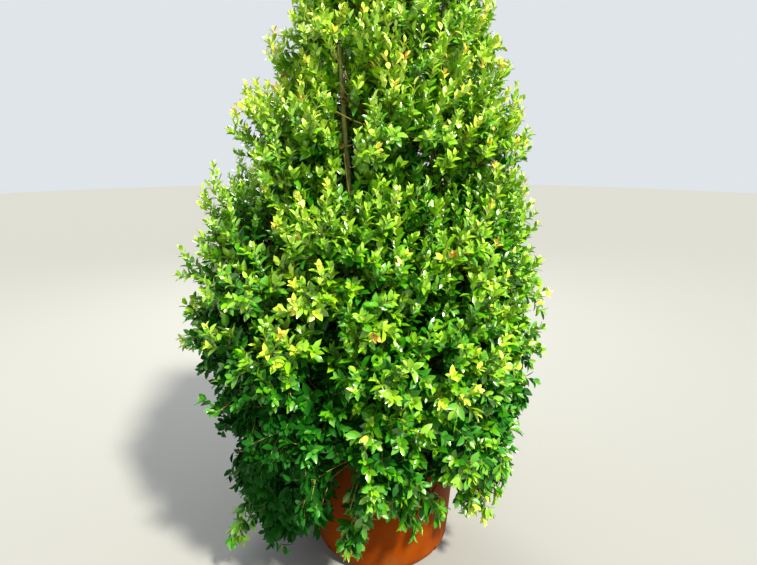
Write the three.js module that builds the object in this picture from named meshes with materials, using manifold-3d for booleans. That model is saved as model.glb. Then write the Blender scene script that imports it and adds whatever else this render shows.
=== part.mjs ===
// A potted brush cherry: a dense, leafy evergreen shrub about 2.1 m tall in a 55 litre nursery pot.
// Millimetres, z up. The origin is at the centre of the pot's flat underside.
// Seen from the front, x runs to the right and y away from the viewer.
import * as THREE from "three";
import { mergeVertices } from "three/addons/utils/BufferGeometryUtils.js";
import Module from "manifold-3d";

const wasm = await Module();
wasm.setup();

// Driving sizes
const GAP = 0.3; // between neighbouring solids
const SPARE = 0.05; // added to a gap where one solid is cut by another
const POT = {
  height: 385,
  footRadius: 207, // of the wall's slope, carried down to the underside
  wallRadius: 233, // just under the rim band
  rimRadius: 239,
  rimBand: 36,
  lip: 5, // how far the rolled lip stands out of the band, and its depth
  wall: 3,
  cornerRadius: 48, // between the wall and the underside
  facets: 28,
};
const DRAIN = { count: 7, width: 17, height: 42, depth: 40 };
const SOIL = { edge: 336, top: 348, flatRadius: 60 };
const TRUNK = {
  top: 1680,
  footRadius: 35, // over the root flare
  collarRadius: 23, // where the flare has run out
  tipRadius: 5,
  flareHeight: 75,
  flarePower: 1.6,
  flareLobes: 5,
  flareDepth: 0.1, // of the hollows between the root buttresses
  buried: 8, // grown below the soil's top and then cut off
  bends: [[7, 6, 0.14], [-4, 14, 0.4], [14, 16, 0.7]], // x, y and the share of the height
};
const CROWN = {
  top: 2170,
  widest: 800, // height of the widest part
  radius: 520,
  foot: 80, // the lowest hanging leaves, on the left
  footRise: 220, // how much higher the foliage ends on the right
  footTurn: 200, // degrees: the side where it hangs lowest
  partingTurn: -82, // degrees: the side where the skirt parts and shows the pot
  partingWidth: 40, // degrees
  partingRise: 270,
  sway: [-55, 25], // the crown's middle, at its widest part and near its top
  swayTop: 1650,
  peak: 1.4, // how full the upper crown is: 1 is a cone
  tuck: 0.35, // how far the skirt draws in below the widest part
};
const LEAF = {
  length: 150,
  width: 70,
  thickness: 5,
  sink: 1.5, // how far the root goes past the middle of the twig
  apart: 22, // the least room between leaves of different pairs
  widestAt: 0.52, // a share of the length, as the next three are
  lift: 0.06, // how far the blade arches over its root and tip
  spacing: 0.52, // between one pair and the next
  overhang: 0.42, // how far leaves reach past the tip of their shoot
  open: [0.9, 1.5], // how far the pair at the tip and the others spread, where 1 is 45 degrees
  facing: [0.4, 0.3, 0.8], // how far a leaf faces along its twig, up, and out of the crown
  varied: [0.85, 1.05], // the smallest and the largest, as a share of the full size
  sizes: [1, 0.8], // tried in turn, until one has room
};
const CLEAR = { twig: 6, leaf: 2, overshoot: 35 }; // overshoot is how far leaves may pass the outline
const TWIG = {
  radius: 4,
  sides: 3,
  blunt: 0.6, // how thick it stays towards its tip
  bend: 0.16, // how far it curves up or droops, as a share of its length
};
const MASS = {
  coreDepth: 62, // the core's radius along the mass's own axis, which points out of the crown
  coreWidth: 142, // and across it
  coreShare: 0.8, // of the way to the edge of the mass's own space
  coreLumps: 0.14,
  rootCover: 70, // the deepest that a leaf's root lies in the core
  shoots: 7,
  pairs: 2, // of leaves on a shoot
  spread: 105, // degrees: the widest angle between a shoot and the mass's own axis
  lowest: 0.62, // where on the mass's stem the lowest shoot grows
  shares: [0.9, 1.04], // of its free way that a shoot takes
  shorter: [1, 0.82, 0.66], // tried in turn, until one is clear
  shortest: 0.6, // a shoot, as a share of a leaf's length
  lastPair: 0.97, // how far along its shoot the pair at the tip is
  tolerance: 0.4,
};

// Stems that fork from the trunk: the height of the fork and the tip.
const STEMS = [
  { name: "stem_left", fork: 520, tip: [-104, -185, 1480] },
  { name: "stem_right", fork: 585, tip: [150, -52, 1470] },
  { name: "stem_back", fork: 550, tip: [10, 138, 1460] },
];
const STEM = {
  radius: 13,
  tipRadius: 4.6,
  splay: 0.62, // how far outward it leaves the trunk, where 1 is 45 degrees
  lean: 0.1, // how far outward it still leans at its tip
};

// Rings of foliage masses, from the skirt over the pot's rim up to the top.
// turn is the compass angle of the first mass, where 0 is right and -90 is the front. reach is the share
// of the crown's radius where the masses are centred. rise is the angle at which they face upwards.
// droop bends the shoots down, and climb is how far below a mass its bough leaves the trunk or stem.
const RINGS = [
  { name: "skirt", count: 6, height: 415, turn: -90, reach: 0.73, rise: -8, droop: 1.4, climb: -15 },
  { name: "lower", count: 6, height: 690, turn: -120, reach: 0.7, rise: 2, droop: 0.2, climb: 150 },
  { name: "middle", count: 6, height: 985, turn: -90, reach: 0.66, rise: 12, droop: -1, climb: 190 },
  { name: "upper", count: 5, height: 1275, turn: -82, reach: 0.56, rise: 24, droop: -1, climb: 170 },
  { name: "high", count: 3, height: 1555, turn: -150, reach: 0.5, rise: 40, droop: -0.7, climb: 0 },
  { name: "top", count: 1, height: 1820, turn: 0, reach: 0, rise: 89, droop: -0.4, climb: 0 },
];
// How closely the skirt's masses follow the height that the foliage hangs to on their side.
const SKIRT = { follow: 0.35, meanFoot: 250 };
const UNEVEN = { turn: 5, height: 18 }; // degrees and millimetres that a mass may be off its ring
// Heights of the bare heart of the crown, which the boughs cross.
const HEARTS = [440, 700, 985];
const BOUGH = {
  radius: 8.5,
  tipRadius: 5,
  shortest: 75, // a mass that is nearer than this sits on the trunk or stem itself
  inset: 4, // how far a bough goes into its mass's space
  rise: [0.5, 0.95], // how steeply the skirt's boughs and the others leave, where 1 is 45 degrees
};

// Long shoots that stand out of the crown: the mass that each belongs to and where its tip is.
const SPRIGS = [
  { mass: "foliage_skirt_front_left", tip: [-440, -235, 112] },
  { mass: "foliage_lower_left", tip: [-585, -40, 800] },
  { mass: "foliage_upper_front_left", tip: [-385, -60, 1395] },
  { mass: "foliage_skirt_front", tip: [-92, -292, 130] },
  { mass: "foliage_skirt_front", tip: [108, -292, 215] },
];
const SPRIG = { from: 0.9, overhang: 0.4, seed: 7 };

const UP = new THREE.Vector3(0, 0, 1);
const GOLDEN_ANGLE = Math.PI * (3 - Math.sqrt(5));
const { lerp, clamp, degToRad } = THREE.MathUtils;

// A seeded generator of numbers from 0 to 1, so that the plant grows the same way every time.
function seeded(seed) {
  let state = seed >>> 0;
  return () => {
    state = (state + 0x6d2b79f5) >>> 0;
    let t = Math.imul(state ^ (state >>> 15), state | 1);
    t ^= t + Math.imul(t ^ (t >>> 7), t | 61);
    return ((t ^ (t >>> 14)) >>> 0) / 4294967296;
  };
}

// The solid of a closed geometry.
function toSolid(geometry) {
  const plain = new THREE.BufferGeometry();
  plain.setAttribute("position", geometry.getAttribute("position").clone());
  if (geometry.index) plain.setIndex(geometry.index.clone());
  const merged = mergeVertices(plain, 1e-4);
  return new wasm.Manifold(
    new wasm.Mesh({
      numProp: 3,
      vertProperties: new Float32Array(merged.attributes.position.array),
      triVerts: new Uint32Array(merged.index.array),
    }),
  );
}

// The geometry of a solid.
function toGeometry(solid) {
  const mesh = solid.getMesh();
  const geometry = new THREE.BufferGeometry();
  geometry.setAttribute("position", new THREE.BufferAttribute(mesh.vertProperties, 3));
  geometry.setIndex(new THREE.BufferAttribute(mesh.triVerts, 1));
  const faceted = geometry.toNonIndexed();
  faceted.computeVertexNormals();
  return faceted;
}

// The largest piece of a solid, without loose scraps and with sealed hollows filled. Slivers thinner than
// the tolerance are smoothed away.
function wholePiece(solid, tolerance = 0.02) {
  const pieces = solid.simplify(tolerance).decompose();
  return pieces.reduce((best, piece) => (piece.volume() > best.volume() ? piece : best));
}

// The crown's own outline

function crownMiddle(z) {
  const t = clamp((z - CROWN.widest) / (CROWN.swayTop - CROWN.widest), 0, 1);
  return lerp(CROWN.sway[0], CROWN.sway[1], t);
}

function crownRadius(z) {
  if (z >= CROWN.top) return 0;
  if (z > CROWN.widest) {
    const t = (z - CROWN.widest) / (CROWN.top - CROWN.widest);
    return CROWN.radius * (1 - t ** CROWN.peak);
  }
  const t = (CROWN.widest - z) / (CROWN.widest - CROWN.foot);
  return CROWN.radius * (1 - CROWN.tuck * t * t);
}

// The lowest height that leaves hang to on one side of the plant: lowest on the left, and raised where the
// skirt parts in front of the pot.
function crownFoot(angle) {
  const turned = angle - degToRad(CROWN.footTurn);
  const aside = angle - degToRad(CROWN.partingTurn);
  const fromParting = Math.atan2(Math.sin(aside), Math.cos(aside)) / degToRad(CROWN.partingWidth);
  const parting = CROWN.partingRise * Math.exp(-(fromParting ** 2));
  return CROWN.foot + (CROWN.footRise * (1 - Math.cos(turned))) / 2 + parting;
}

function inCrown(point, margin) {
  const outward = Math.hypot(point.x - crownMiddle(point.z), point.y);
  const foot = crownFoot(Math.atan2(point.y, point.x));
  return outward < crownRadius(point.z) - margin && point.z > foot + margin;
}

function clearOfPot(point, margin) {
  return point.z > POT.height + margin || Math.hypot(point.x, point.y) > POT.rimRadius + POT.lip + margin;
}

// Limbs

// A closed tapering tube along a curve, with the radius given as a function of the way along it. A radius
// of nothing at the far end makes it pointed. Its rings are at the given stations, from 0 to 1.
function tube(curve, radiusAt, sides, stations, scale = () => 1) {
  const steps = stations.length - 1;
  const geometry = new THREE.CylinderGeometry(radiusAt(1) > 0 ? 1 : 0, 1, 1, sides, steps);
  const position = geometry.getAttribute("position");
  const frames = tubeFrames(curve, stations);
  for (let i = 0; i < position.count; i++) {
    const [x, y, z] = [position.getX(i), position.getY(i), position.getZ(i)];
    const step = Math.round((y + 0.5) * steps);
    const frame = frames[step];
    const angle = Math.atan2(z, x);
    const onAxis = Math.hypot(x, z) < 1e-6;
    const radius = onAxis ? 0 : radiusAt(stations[step]) * scale(angle, frame.point.z);
    const point = frame.point
      .clone()
      .addScaledVector(frame.side, -Math.cos(angle) * radius)
      .addScaledVector(frame.across, Math.sin(angle) * radius);
    position.setXYZ(i, point.x, point.y, point.z);
  }
  return toSolid(geometry);
}

// The direction at an angle from straight up, on one side of the compass.
function directionAt(polar, compass) {
  const flat = Math.sin(polar);
  return new THREE.Vector3(flat * Math.cos(compass), flat * Math.sin(compass), Math.cos(polar));
}

// A direction square to another one.
function sideways(direction) {
  const reference = Math.abs(direction.z) < 0.9 ? UP : new THREE.Vector3(1, 0, 0);
  return direction.clone().cross(reference).normalize();
}

// Points along a curve, each with two directions across it that turn as little as they can.
function tubeFrames(curve, stations) {
  let side = sideways(curve.getTangentAt(0));
  return stations.map((t) => {
    const tangent = curve.getTangentAt(t);
    side = side.clone().addScaledVector(tangent, -side.dot(tangent)).normalize();
    const across = tangent.clone().cross(side);
    return { point: curve.getPointAt(t), side, across };
  });
}

function evenStations(steps) {
  return Array.from({ length: steps + 1 }, (_, i) => i / steps);
}

// A limb's curve, its solid, and the same solid a gap wider, which its neighbours are cut with.
function makeLimb(name, curve, radiusAt, sides, stations, scale) {
  const spare = (GAP + SPARE) / Math.cos(Math.PI / sides);
  const samples = evenStations(24).map((t) => ({ point: curve.getPointAt(t), radius: radiusAt(t) }));
  return {
    name,
    curve,
    radiusAt,
    samples,
    solid: tube(curve, radiusAt, sides, stations, scale),
    wider: tube(curve, (t) => radiusAt(t) + spare, sides, stations, scale),
  };
}

function clearOfLimbs(point, limbs, margin) {
  const segment = new THREE.Line3();
  const nearest = new THREE.Vector3();
  return limbs.every((limb) =>
    limb.samples.every((sample, i) => {
      if (i === 0) return true;
      segment.set(limb.samples[i - 1].point, sample.point);
      segment.closestPointToPoint(point, true, nearest);
      return nearest.distanceTo(point) > sample.radius + margin;
    }),
  );
}

// A curve that leaves one point and reaches another in the given directions.
function bentCurve(from, to, leaving, arriving) {
  const handle = from.distanceTo(to) / 3;
  return new THREE.CubicBezierCurve3(
    from,
    from.clone().addScaledVector(leaving, handle),
    to.clone().addScaledVector(arriving, -handle),
    to,
  );
}

// The trunk, cut flat where it meets the soil.
function makeTrunk() {
  const foot = SOIL.top + GAP;
  const height = TRUNK.top - foot;
  const curve = new THREE.CatmullRomCurve3([
    new THREE.Vector3(0, 0, foot - TRUNK.buried),
    ...TRUNK.bends.map(([x, y, share]) => new THREE.Vector3(x, y, foot + share * height)),
    new THREE.Vector3(crownMiddle(TRUNK.top), 8, TRUNK.top),
  ]);
  const radiusAt = (t) => {
    const flare = Math.max(0, 1 - (t * height) / TRUNK.flareHeight) ** TRUNK.flarePower;
    return lerp(TRUNK.collarRadius, TRUNK.tipRadius, t) + (TRUNK.footRadius - TRUNK.collarRadius) * flare;
  };
  const buttress = (angle, z) => {
    const flare = Math.max(0, 1 - (z - foot) / TRUNK.flareHeight);
    return 1 + flare * TRUNK.flareDepth * (Math.cos(TRUNK.flareLobes * angle) - 1);
  };
  const flareEnd = TRUNK.flareHeight / height;
  const flareStations = [0, 0.25, 0.55, 1].map((t) => t * flareEnd);
  const stations = [...flareStations, ...evenStations(9).slice(1)];
  const trunk = makeLimb("trunk", curve, radiusAt, 10, stations, buttress);
  trunk.solid = trunk.solid.trimByPlane([0, 0, 1], foot);
  return trunk;
}

function makeStem(stem, trunk) {
  const t = trunkShare(trunk, stem.fork);
  const from = trunk.curve.getPointAt(t);
  const to = new THREE.Vector3(...stem.tip);
  const outward = new THREE.Vector3(to.x, to.y, 0).normalize();
  const leaving = outward.clone().multiplyScalar(STEM.splay).add(UP).normalize();
  const arriving = outward.clone().multiplyScalar(STEM.lean).add(UP).normalize();
  const curve = bentCurve(from, to, leaving, arriving);
  const radiusAt = (s) => lerp(STEM.radius, STEM.tipRadius, s ** 0.8);
  return makeLimb(stem.name, curve, radiusAt, 7, evenStations(7));
}

// How far along an upright limb a height lies, from 0 at its foot to 1 at its tip.
function trunkShare(limb, height) {
  const low = limb.samples[0].point.z;
  const high = limb.samples.at(-1).point.z;
  return clamp((height - low) / (high - low), 0, 1);
}

// Foliage masses

// The side of the plant that a compass angle looks at.
function sideName(degrees) {
  const names = ["right", "back_right", "back", "back_left", "left", "front_left", "front", "front_right"];
  return names[((Math.round(degrees / 45) % 8) + 8) % 8];
}

function planMasses() {
  const masses = [];
  RINGS.forEach((ring, row) => {
    for (let i = 0; i < ring.count; i++) {
      const random = seeded(1000 + 100 * row + i);
      const degrees = ring.turn + (360 / ring.count) * i;
      const angle = degToRad(degrees + lerp(-UNEVEN.turn, UNEVEN.turn, random()));
      const sag = ring.name === "skirt" ? SKIRT.follow * (crownFoot(angle) - SKIRT.meanFoot) : 0;
      const height = ring.height + lerp(-UNEVEN.height, UNEVEN.height, random()) + sag;
      const reach = crownRadius(height) * ring.reach;
      const centre = new THREE.Vector3(
        crownMiddle(height) + reach * Math.cos(angle),
        reach * Math.sin(angle),
        height,
      );
      const side = ring.count > 1 ? "_" + sideName(degrees) : "";
      masses.push({ name: "foliage_" + ring.name + side, ring, angle, centre, random, leafPoints: [] });
    }
  });
  return masses;
}

// The flat sides of each mass's own space: halfway to each neighbour and to the bare heart.
function planSpaces(masses) {
  const hearts = HEARTS.map((z) => new THREE.Vector3(crownMiddle(z), 0, z));
  const centres = [...masses.map((mass) => mass.centre), ...hearts];
  for (const mass of masses) {
    mass.sides = centres
      .filter((other) => other !== mass.centre)
      .map((other) => {
        const normal = other.clone().sub(mass.centre).normalize();
        const middle = other.clone().add(mass.centre).multiplyScalar(0.5);
        return { normal, offset: normal.dot(middle) };
      });
  }
}

function inSpace(mass, point, margin) {
  return mass.sides.every((side) => side.normal.dot(point) < side.offset - margin);
}

// How far one can go from a point in a direction before leaving the mass's space or the crown.
function freeWay(mass, from, direction) {
  let way = 1000;
  for (const side of mass.sides) {
    const closing = side.normal.dot(direction);
    if (closing > 1e-6) way = Math.min(way, (side.offset - side.normal.dot(from)) / closing);
  }
  const stride = 8;
  const point = from.clone();
  for (let gone = 0; gone < way; gone += stride) {
    if (!inCrown(point, 0) || !clearOfPot(point, 4)) return gone;
    point.addScaledVector(direction, stride);
  }
  return Math.max(way, 0);
}

// The limb whose side is nearest to a mass, and the place on it where the mass's bough leaves.
function nearestFoot(mass, limbs) {
  const height = mass.centre.z - mass.ring.climb;
  const feet = limbs.map((limb) => {
    const t = clamp(trunkShare(limb, height), 0, 0.96);
    return { limb, t, point: limb.curve.getPointAt(t) };
  });
  return feet.reduce((best, foot) =>
    foot.point.distanceTo(mass.centre) < best.point.distanceTo(mass.centre) ? foot : best,
  );
}

// The bough that carries a mass, up to where it enters the mass's space, or nothing where the mass sits
// on the trunk or a stem. Either way the mass is told where its own stem starts.
function makeBough(mass, uprights) {
  const tip = uprights.find((limb) => inSpace(mass, limb.curve.getPointAt(1), BOUGH.inset + 1));
  if (tip) {
    startOnTip(mass, tip);
    return null;
  }
  const foot = nearestFoot(mass, uprights);
  const outward = directionAt(Math.PI / 2, mass.angle);
  const [skirtRise, rise] = BOUGH.rise;
  const leaving = outward.clone().addScaledVector(UP, mass.ring.climb > 0 ? rise : skirtRise).normalize();
  const arriving = outward.addScaledVector(UP, Math.sin(degToRad(mass.ring.rise)) + 0.15).normalize();
  const whole = bentCurve(foot.point, mass.centre, leaving, arriving);
  const entry = firstInside(mass, (t) => whole.getPoint(t), BOUGH.inset);
  const end = whole.getPoint(entry);
  if (end.distanceTo(foot.point) < BOUGH.shortest) {
    startOnSide(mass, foot.limb, leaving);
    return null;
  }
  const curve = bentCurve(foot.point, end, leaving, whole.getTangent(entry));
  const rootRadius = Math.min(foot.limb.radiusAt(foot.t) * 0.85, BOUGH.radius);
  const radiusAt = (t) => lerp(rootRadius, BOUGH.tipRadius, t ** 0.7);
  const bough = makeLimb(mass.name.replace("foliage", "bough"), curve, radiusAt, 5, evenStations(3));
  startOnTip(mass, bough);
  return bough;
}

function startOnTip(mass, limb) {
  mass.startDirection = limb.curve.getTangentAt(1);
  mass.start = limb.curve.getPointAt(1).addScaledVector(mass.startDirection, GAP);
  mass.startRadius = limb.radiusAt(1);
}

function startOnSide(mass, limb, leaving) {
  const inside = firstInside(mass, (t) => limb.curve.getPointAt(t), BOUGH.inset * 3);
  mass.startDirection = leaving;
  mass.start = limb.curve.getPointAt(inside);
  mass.startRadius = Math.min(limb.radiusAt(inside) * 0.8, BOUGH.tipRadius);
}

// How far along a path, from 0 to 1, it first lies inside a mass's space by a margin.
function firstInside(mass, pointAt, margin) {
  const stations = evenStations(80);
  return stations.find((t) => inSpace(mass, pointAt(t), margin)) ?? 1;
}

// A flattened octahedron, as a leaf with its root at the origin, its blade along y and its upper side
// along z.
function leafGeometry(length, width) {
  const geometry = new THREE.OctahedronGeometry(1);
  const position = geometry.getAttribute("position");
  for (let i = 0; i < position.count; i++) {
    const x = position.getX(i);
    const y = position.getY(i);
    const z = position.getZ(i);
    const onAxis = Math.abs(y) > 0.5;
    const along = onAxis ? (y + 1) / 2 : LEAF.widestAt;
    const lift = onAxis ? 0 : LEAF.lift * length;
    position.setXYZ(i, (x * width) / 2, along * length, (z * LEAF.thickness) / 2 + lift);
  }
  return geometry;
}

// A leaf placed with its root at a point of a twig, or nothing where it has no room.
function placeLeaf(mass, root, direction, facing, size, limbs) {
  const normal = facing.clone().addScaledVector(direction, -facing.dot(direction)).normalize();
  const across = direction.clone().cross(normal);
  const start = root.clone().addScaledVector(direction, -LEAF.sink);
  const tip = start.clone().addScaledVector(direction, LEAF.length * size);
  const matrix = new THREE.Matrix4().makeBasis(across, direction, normal).setPosition(start);
  const geometry = leafGeometry(LEAF.length * size, LEAF.width * size).applyMatrix4(matrix);
  const position = geometry.getAttribute("position");
  const points = [0.25, 0.5, 0.75].map((t) => start.clone().lerp(tip, t));
  for (let i = 0; i < position.count; i++) points.push(new THREE.Vector3().fromBufferAttribute(position, i));
  const roomy = points.every(
    (p) =>
      inSpace(mass, p, GAP * 2) &&
      inCrown(p, -CLEAR.overshoot) &&
      clearOfPot(p, CLEAR.leaf) &&
      clearOfLimbs(p, limbs, CLEAR.leaf),
  );
  const apart = points.every((p) => mass.leafPoints.every((other) => other.distanceTo(p) > LEAF.apart));
  return roomy && apart ? { solid: toSolid(geometry), points: points.slice(1) } : null;
}

// The largest leaf that has room at a point of a twig.
function fitLeaf(mass, root, direction, facing, size, limbs) {
  for (const share of LEAF.sizes) {
    const leaf = placeLeaf(mass, root, direction, facing, size * share, limbs);
    if (leaf) return leaf;
  }
  return null;
}

// Two opposite leaves at a point of a twig.
function growPair(mass, root, tangent, side, open, limbs, random) {
  const [along, up, out] = LEAF.facing;
  const facing = massAxis(mass).multiplyScalar(out).addScaledVector(tangent, along).addScaledVector(UP, up);
  const leaves = [1, -1].map((way) => {
    const direction = tangent.clone().addScaledVector(side, way * open).normalize();
    return fitLeaf(mass, root, direction, facing, lerp(...LEAF.varied, random()), limbs);
  });
  return leaves.filter((leaf) => leaf);
}

// A shoot grows in one bent curve from a mass's stem, with leaves in opposite pairs, each pair turned a
// quarter from the last.
function growShoot(mass, from, direction, length, droop, limbs, random) {
  const curve = new THREE.QuadraticBezierCurve3(
    from,
    from.clone().addScaledVector(direction, length * 0.5),
    from.clone().addScaledVector(direction, length).addScaledVector(UP, -droop * TWIG.bend * length),
  );
  const points = evenStations(5).slice(1).map((t) => curve.getPointAt(t));
  const inside = points.every((p) => inSpace(mass, p, TWIG.radius + 1) && clearOfPot(p, CLEAR.twig));
  if (!inside || !points.every((p) => clearOfLimbs(p, limbs, CLEAR.twig))) return null;
  const radiusAt = (t) => (t < 1 ? lerp(1, TWIG.blunt, t) * TWIG.radius : 0);
  const solids = [tube(curve, radiusAt, TWIG.sides, evenStations(2))];
  const turn = random() * Math.PI;
  for (let pair = 0; pair < MASS.pairs; pair++) {
    const t = clamp(MASS.lastPair - (pair * LEAF.spacing * LEAF.length) / length, 0.05, 1);
    const root = curve.getPointAt(t);
    if (inCore(mass, root, MASS.rootCover)) continue;
    const tangent = curve.getTangentAt(t);
    const side = sideways(tangent).applyAxisAngle(tangent, turn + (pair * Math.PI) / 2);
    const leaves = growPair(mass, root, tangent, side, LEAF.open[Math.min(pair, 1)], limbs, random);
    solids.push(...leaves.map((leaf) => leaf.solid));
    mass.leafPoints.push(...leaves.flatMap((leaf) => leaf.points));
  }
  return solids;
}

// The direction that a mass faces, out of the crown.
function massAxis(mass) {
  return directionAt(degToRad(90 - mass.ring.rise), mass.angle);
}

// How far a mass's dense inner part reaches in a direction: a lumpy cushion, drawn in from the sides of
// the mass's space and from the crown's outline.
function coreReach(mass, direction) {
  const outward = massAxis(mass).dot(direction);
  const cushion = 1 / Math.hypot(outward / MASS.coreDepth, Math.sqrt(1 - outward * outward) / MASS.coreWidth);
  const wave = Math.sin(5 * direction.x + mass.angle) * Math.cos(4 * direction.z + 3 * direction.y);
  const lumpy = cushion * (1 + MASS.coreLumps * wave);
  return Math.min(freeWay(mass, mass.centre, direction) * MASS.coreShare, lumpy);
}

// Whether a point lies deeper in a mass's dense inner part than a leaf's root may.
function inCore(mass, point, cover) {
  const away = point.clone().sub(mass.centre);
  return away.length() < coreReach(mass, away.clone().normalize()) - cover;
}

function makeCore(mass) {
  const geometry = new THREE.DodecahedronGeometry(1);
  const position = geometry.getAttribute("position");
  const direction = new THREE.Vector3();
  for (let i = 0; i < position.count; i++) {
    direction.fromBufferAttribute(position, i).normalize();
    const point = mass.centre.clone().addScaledVector(direction, coreReach(mass, direction));
    position.setXYZ(i, point.x, point.y, point.z);
  }
  return toSolid(geometry);
}

// A mass's own stem and core, its shoots, and any long sprigs, cut clear of the limbs and the pot.
function growMass(mass, limbs, potRoom) {
  const stem = bentCurve(mass.start, mass.centre, mass.startDirection, massAxis(mass));
  const stemRadius = (t) => lerp(mass.startRadius, TWIG.radius, t);
  const parts = [tube(stem, stemRadius, 5, evenStations(2)), makeCore(mass)];
  parts.push(...growShoots(mass, stem, limbs));
  for (const sprig of SPRIGS.filter((entry) => entry.mass === mass.name)) {
    const from = stem.getPointAt(SPRIG.from);
    const away = new THREE.Vector3(...sprig.tip).sub(from);
    const length = away.length() - LEAF.length * SPRIG.overhang;
    const solids = growShoot(mass, from, away.normalize(), length, 0, limbs, seeded(SPRIG.seed));
    parts.push(...(solids ?? []));
  }
  const whole = wasm.Manifold.union(parts).subtract(potRoom);
  return wholePiece(limbs.reduce((solid, limb) => solid.subtract(limb.wider), whole), MASS.tolerance);
}

// Shoots that spread from a mass's stem in a spiral, from the mass's own axis out to the widest angle.
function growShoots(mass, stem, limbs) {
  const turn = new THREE.Quaternion().setFromUnitVectors(UP, massAxis(mass));
  const phase = mass.random() * Math.PI * 2;
  const widest = Math.cos(degToRad(MASS.spread));
  const parts = [];
  for (let k = 0; k < MASS.shoots; k++) {
    const polar = Math.acos(1 - (1 - widest) * (k / (MASS.shoots - 1)));
    const direction = directionAt(polar, phase + k * GOLDEN_ANGLE).applyQuaternion(turn);
    const from = stem.getPointAt(lerp(1, MASS.lowest, k / MASS.shoots));
    const share = lerp(...MASS.shares, mass.random());
    const seed = Math.floor(mass.random() * 1e9);
    const room = freeWay(mass, from, direction) * share - LEAF.length * LEAF.overhang;
    for (const shorter of MASS.shorter) {
      const length = Math.max(room * shorter, LEAF.length * MASS.shortest);
      const solids = growShoot(mass, from, direction, length, mass.ring.droop, limbs, seeded(seed));
      if (!solids) continue;
      parts.push(...solids);
      break;
    }
  }
  return parts;
}

// The pot and what fills it

function lathe(profile, facets) {
  const points = profile.map(([radius, height]) => new THREE.Vector2(radius, height));
  return new THREE.LatheGeometry(points, facets).rotateX(Math.PI / 2);
}

function potWallRadius(z) {
  return lerp(POT.footRadius, POT.wallRadius, z / (POT.height - POT.rimBand));
}

// Points round the pot's lower edge, from the underside up to the wall, a given depth inside its outside.
function cornerPoints(depth, steps) {
  const corner = POT.cornerRadius;
  const middle = potWallRadius(corner) - corner;
  return evenStations(steps).map((t) => {
    const angle = (t * Math.PI) / 2;
    const radius = corner - depth;
    return [middle + radius * Math.sin(angle), corner - radius * Math.cos(angle)];
  });
}

function makePot() {
  const bandFoot = POT.height - POT.rimBand;
  const outside = [
    [0, 0],
    ...cornerPoints(0, 3),
    [POT.wallRadius, bandFoot],
    [POT.rimRadius, bandFoot + POT.wall],
    [POT.rimRadius, POT.height - POT.lip],
    [POT.rimRadius + POT.lip, POT.height - POT.lip],
  ];
  const inside = [
    [0, POT.wall],
    ...cornerPoints(POT.wall, 2),
    [POT.wallRadius - POT.wall, bandFoot],
    [POT.rimRadius - POT.wall, bandFoot + POT.wall],
    [POT.rimRadius - POT.wall, POT.height],
  ];
  const profile = [...outside, [POT.rimRadius + POT.lip, POT.height], ...inside.reverse()];
  let pot = toSolid(lathe(profile, POT.facets));
  for (let i = 0; i < DRAIN.count; i++) {
    pot = pot.subtract(drainCutter(degToRad(-90 + (360 / DRAIN.count) * i)));
  }
  return wholePiece(pot);
}

// The room that the pot takes up, a gap wider.
function makePotRoom() {
  const radius = POT.rimRadius + POT.lip + GAP + SPARE;
  const top = POT.height + GAP + SPARE;
  return toSolid(lathe([[0, 0], [radius, 0], [radius, top], [0, top]], POT.facets));
}

// An arched block that cuts one drain hole through the rounded lower edge.
function drainCutter(angle) {
  const half = DRAIN.width / 2;
  const arch = new THREE.Shape();
  arch.moveTo(-half, -half);
  arch.lineTo(half, -half);
  arch.lineTo(half, DRAIN.height - half);
  arch.absarc(0, DRAIN.height - half, half, 0, Math.PI);
  arch.closePath();
  const inner = potWallRadius(POT.cornerRadius) - DRAIN.depth;
  const outline = { depth: DRAIN.depth * 1.5, bevelEnabled: false, curveSegments: 3 };
  const block = new THREE.ExtrudeGeometry(arch, outline);
  block.rotateX(Math.PI / 2).rotateZ(Math.PI / 2 + angle);
  block.translate(Math.cos(angle) * inner, Math.sin(angle) * inner, 0);
  return toSolid(block);
}

// The potting mix that fills the pot, with a flat place in the middle for the trunk.
function makeSoil() {
  const clearance = POT.wall + GAP + SPARE;
  const profile = [
    [0, clearance],
    ...cornerPoints(clearance, 2),
    [potWallRadius(SOIL.edge) - clearance, SOIL.edge],
    [SOIL.flatRadius, SOIL.top],
    [0, SOIL.top],
  ];
  return wholePiece(toSolid(lathe(profile, POT.facets)));
}

// Materials

const clay = new THREE.MeshStandardMaterial({ color: 0xc4561d, roughness: 0.6, metalness: 0 });
const bark = new THREE.MeshStandardMaterial({ color: 0x7c6a48, roughness: 0.85, metalness: 0 });
const mulch = new THREE.MeshStandardMaterial({ color: 0x3a2a1c, roughness: 0.95, metalness: 0 });
const foliage = new THREE.MeshStandardMaterial({ color: 0x4f8a1e, roughness: 0.45, metalness: 0 });

// The plant put together

const plant = new THREE.Group();

function add(name, solid, material) {
  const mesh = new THREE.Mesh(toGeometry(solid), material);
  mesh.name = name;
  plant.add(mesh);
}

add("pot", makePot(), clay);
add("soil", makeSoil(), mulch);

const trunk = makeTrunk();
const stems = STEMS.map((stem) => makeStem(stem, trunk));
const masses = planMasses();
planSpaces(masses);
const uprights = [trunk, ...stems];
const boughs = masses.map((mass) => makeBough(mass, uprights)).filter((bough) => bough);

const limbs = [];
for (const limb of [...uprights, ...boughs]) {
  const cut = limbs.reduce((solid, earlier) => solid.subtract(earlier.wider), limb.solid);
  add(limb.name, wholePiece(cut), bark);
  limbs.push(limb);
}
const potRoom = makePotRoom();
for (const mass of masses) add(mass.name, growMass(mass, limbs, potRoom), foliage);

export default plant;
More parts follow.
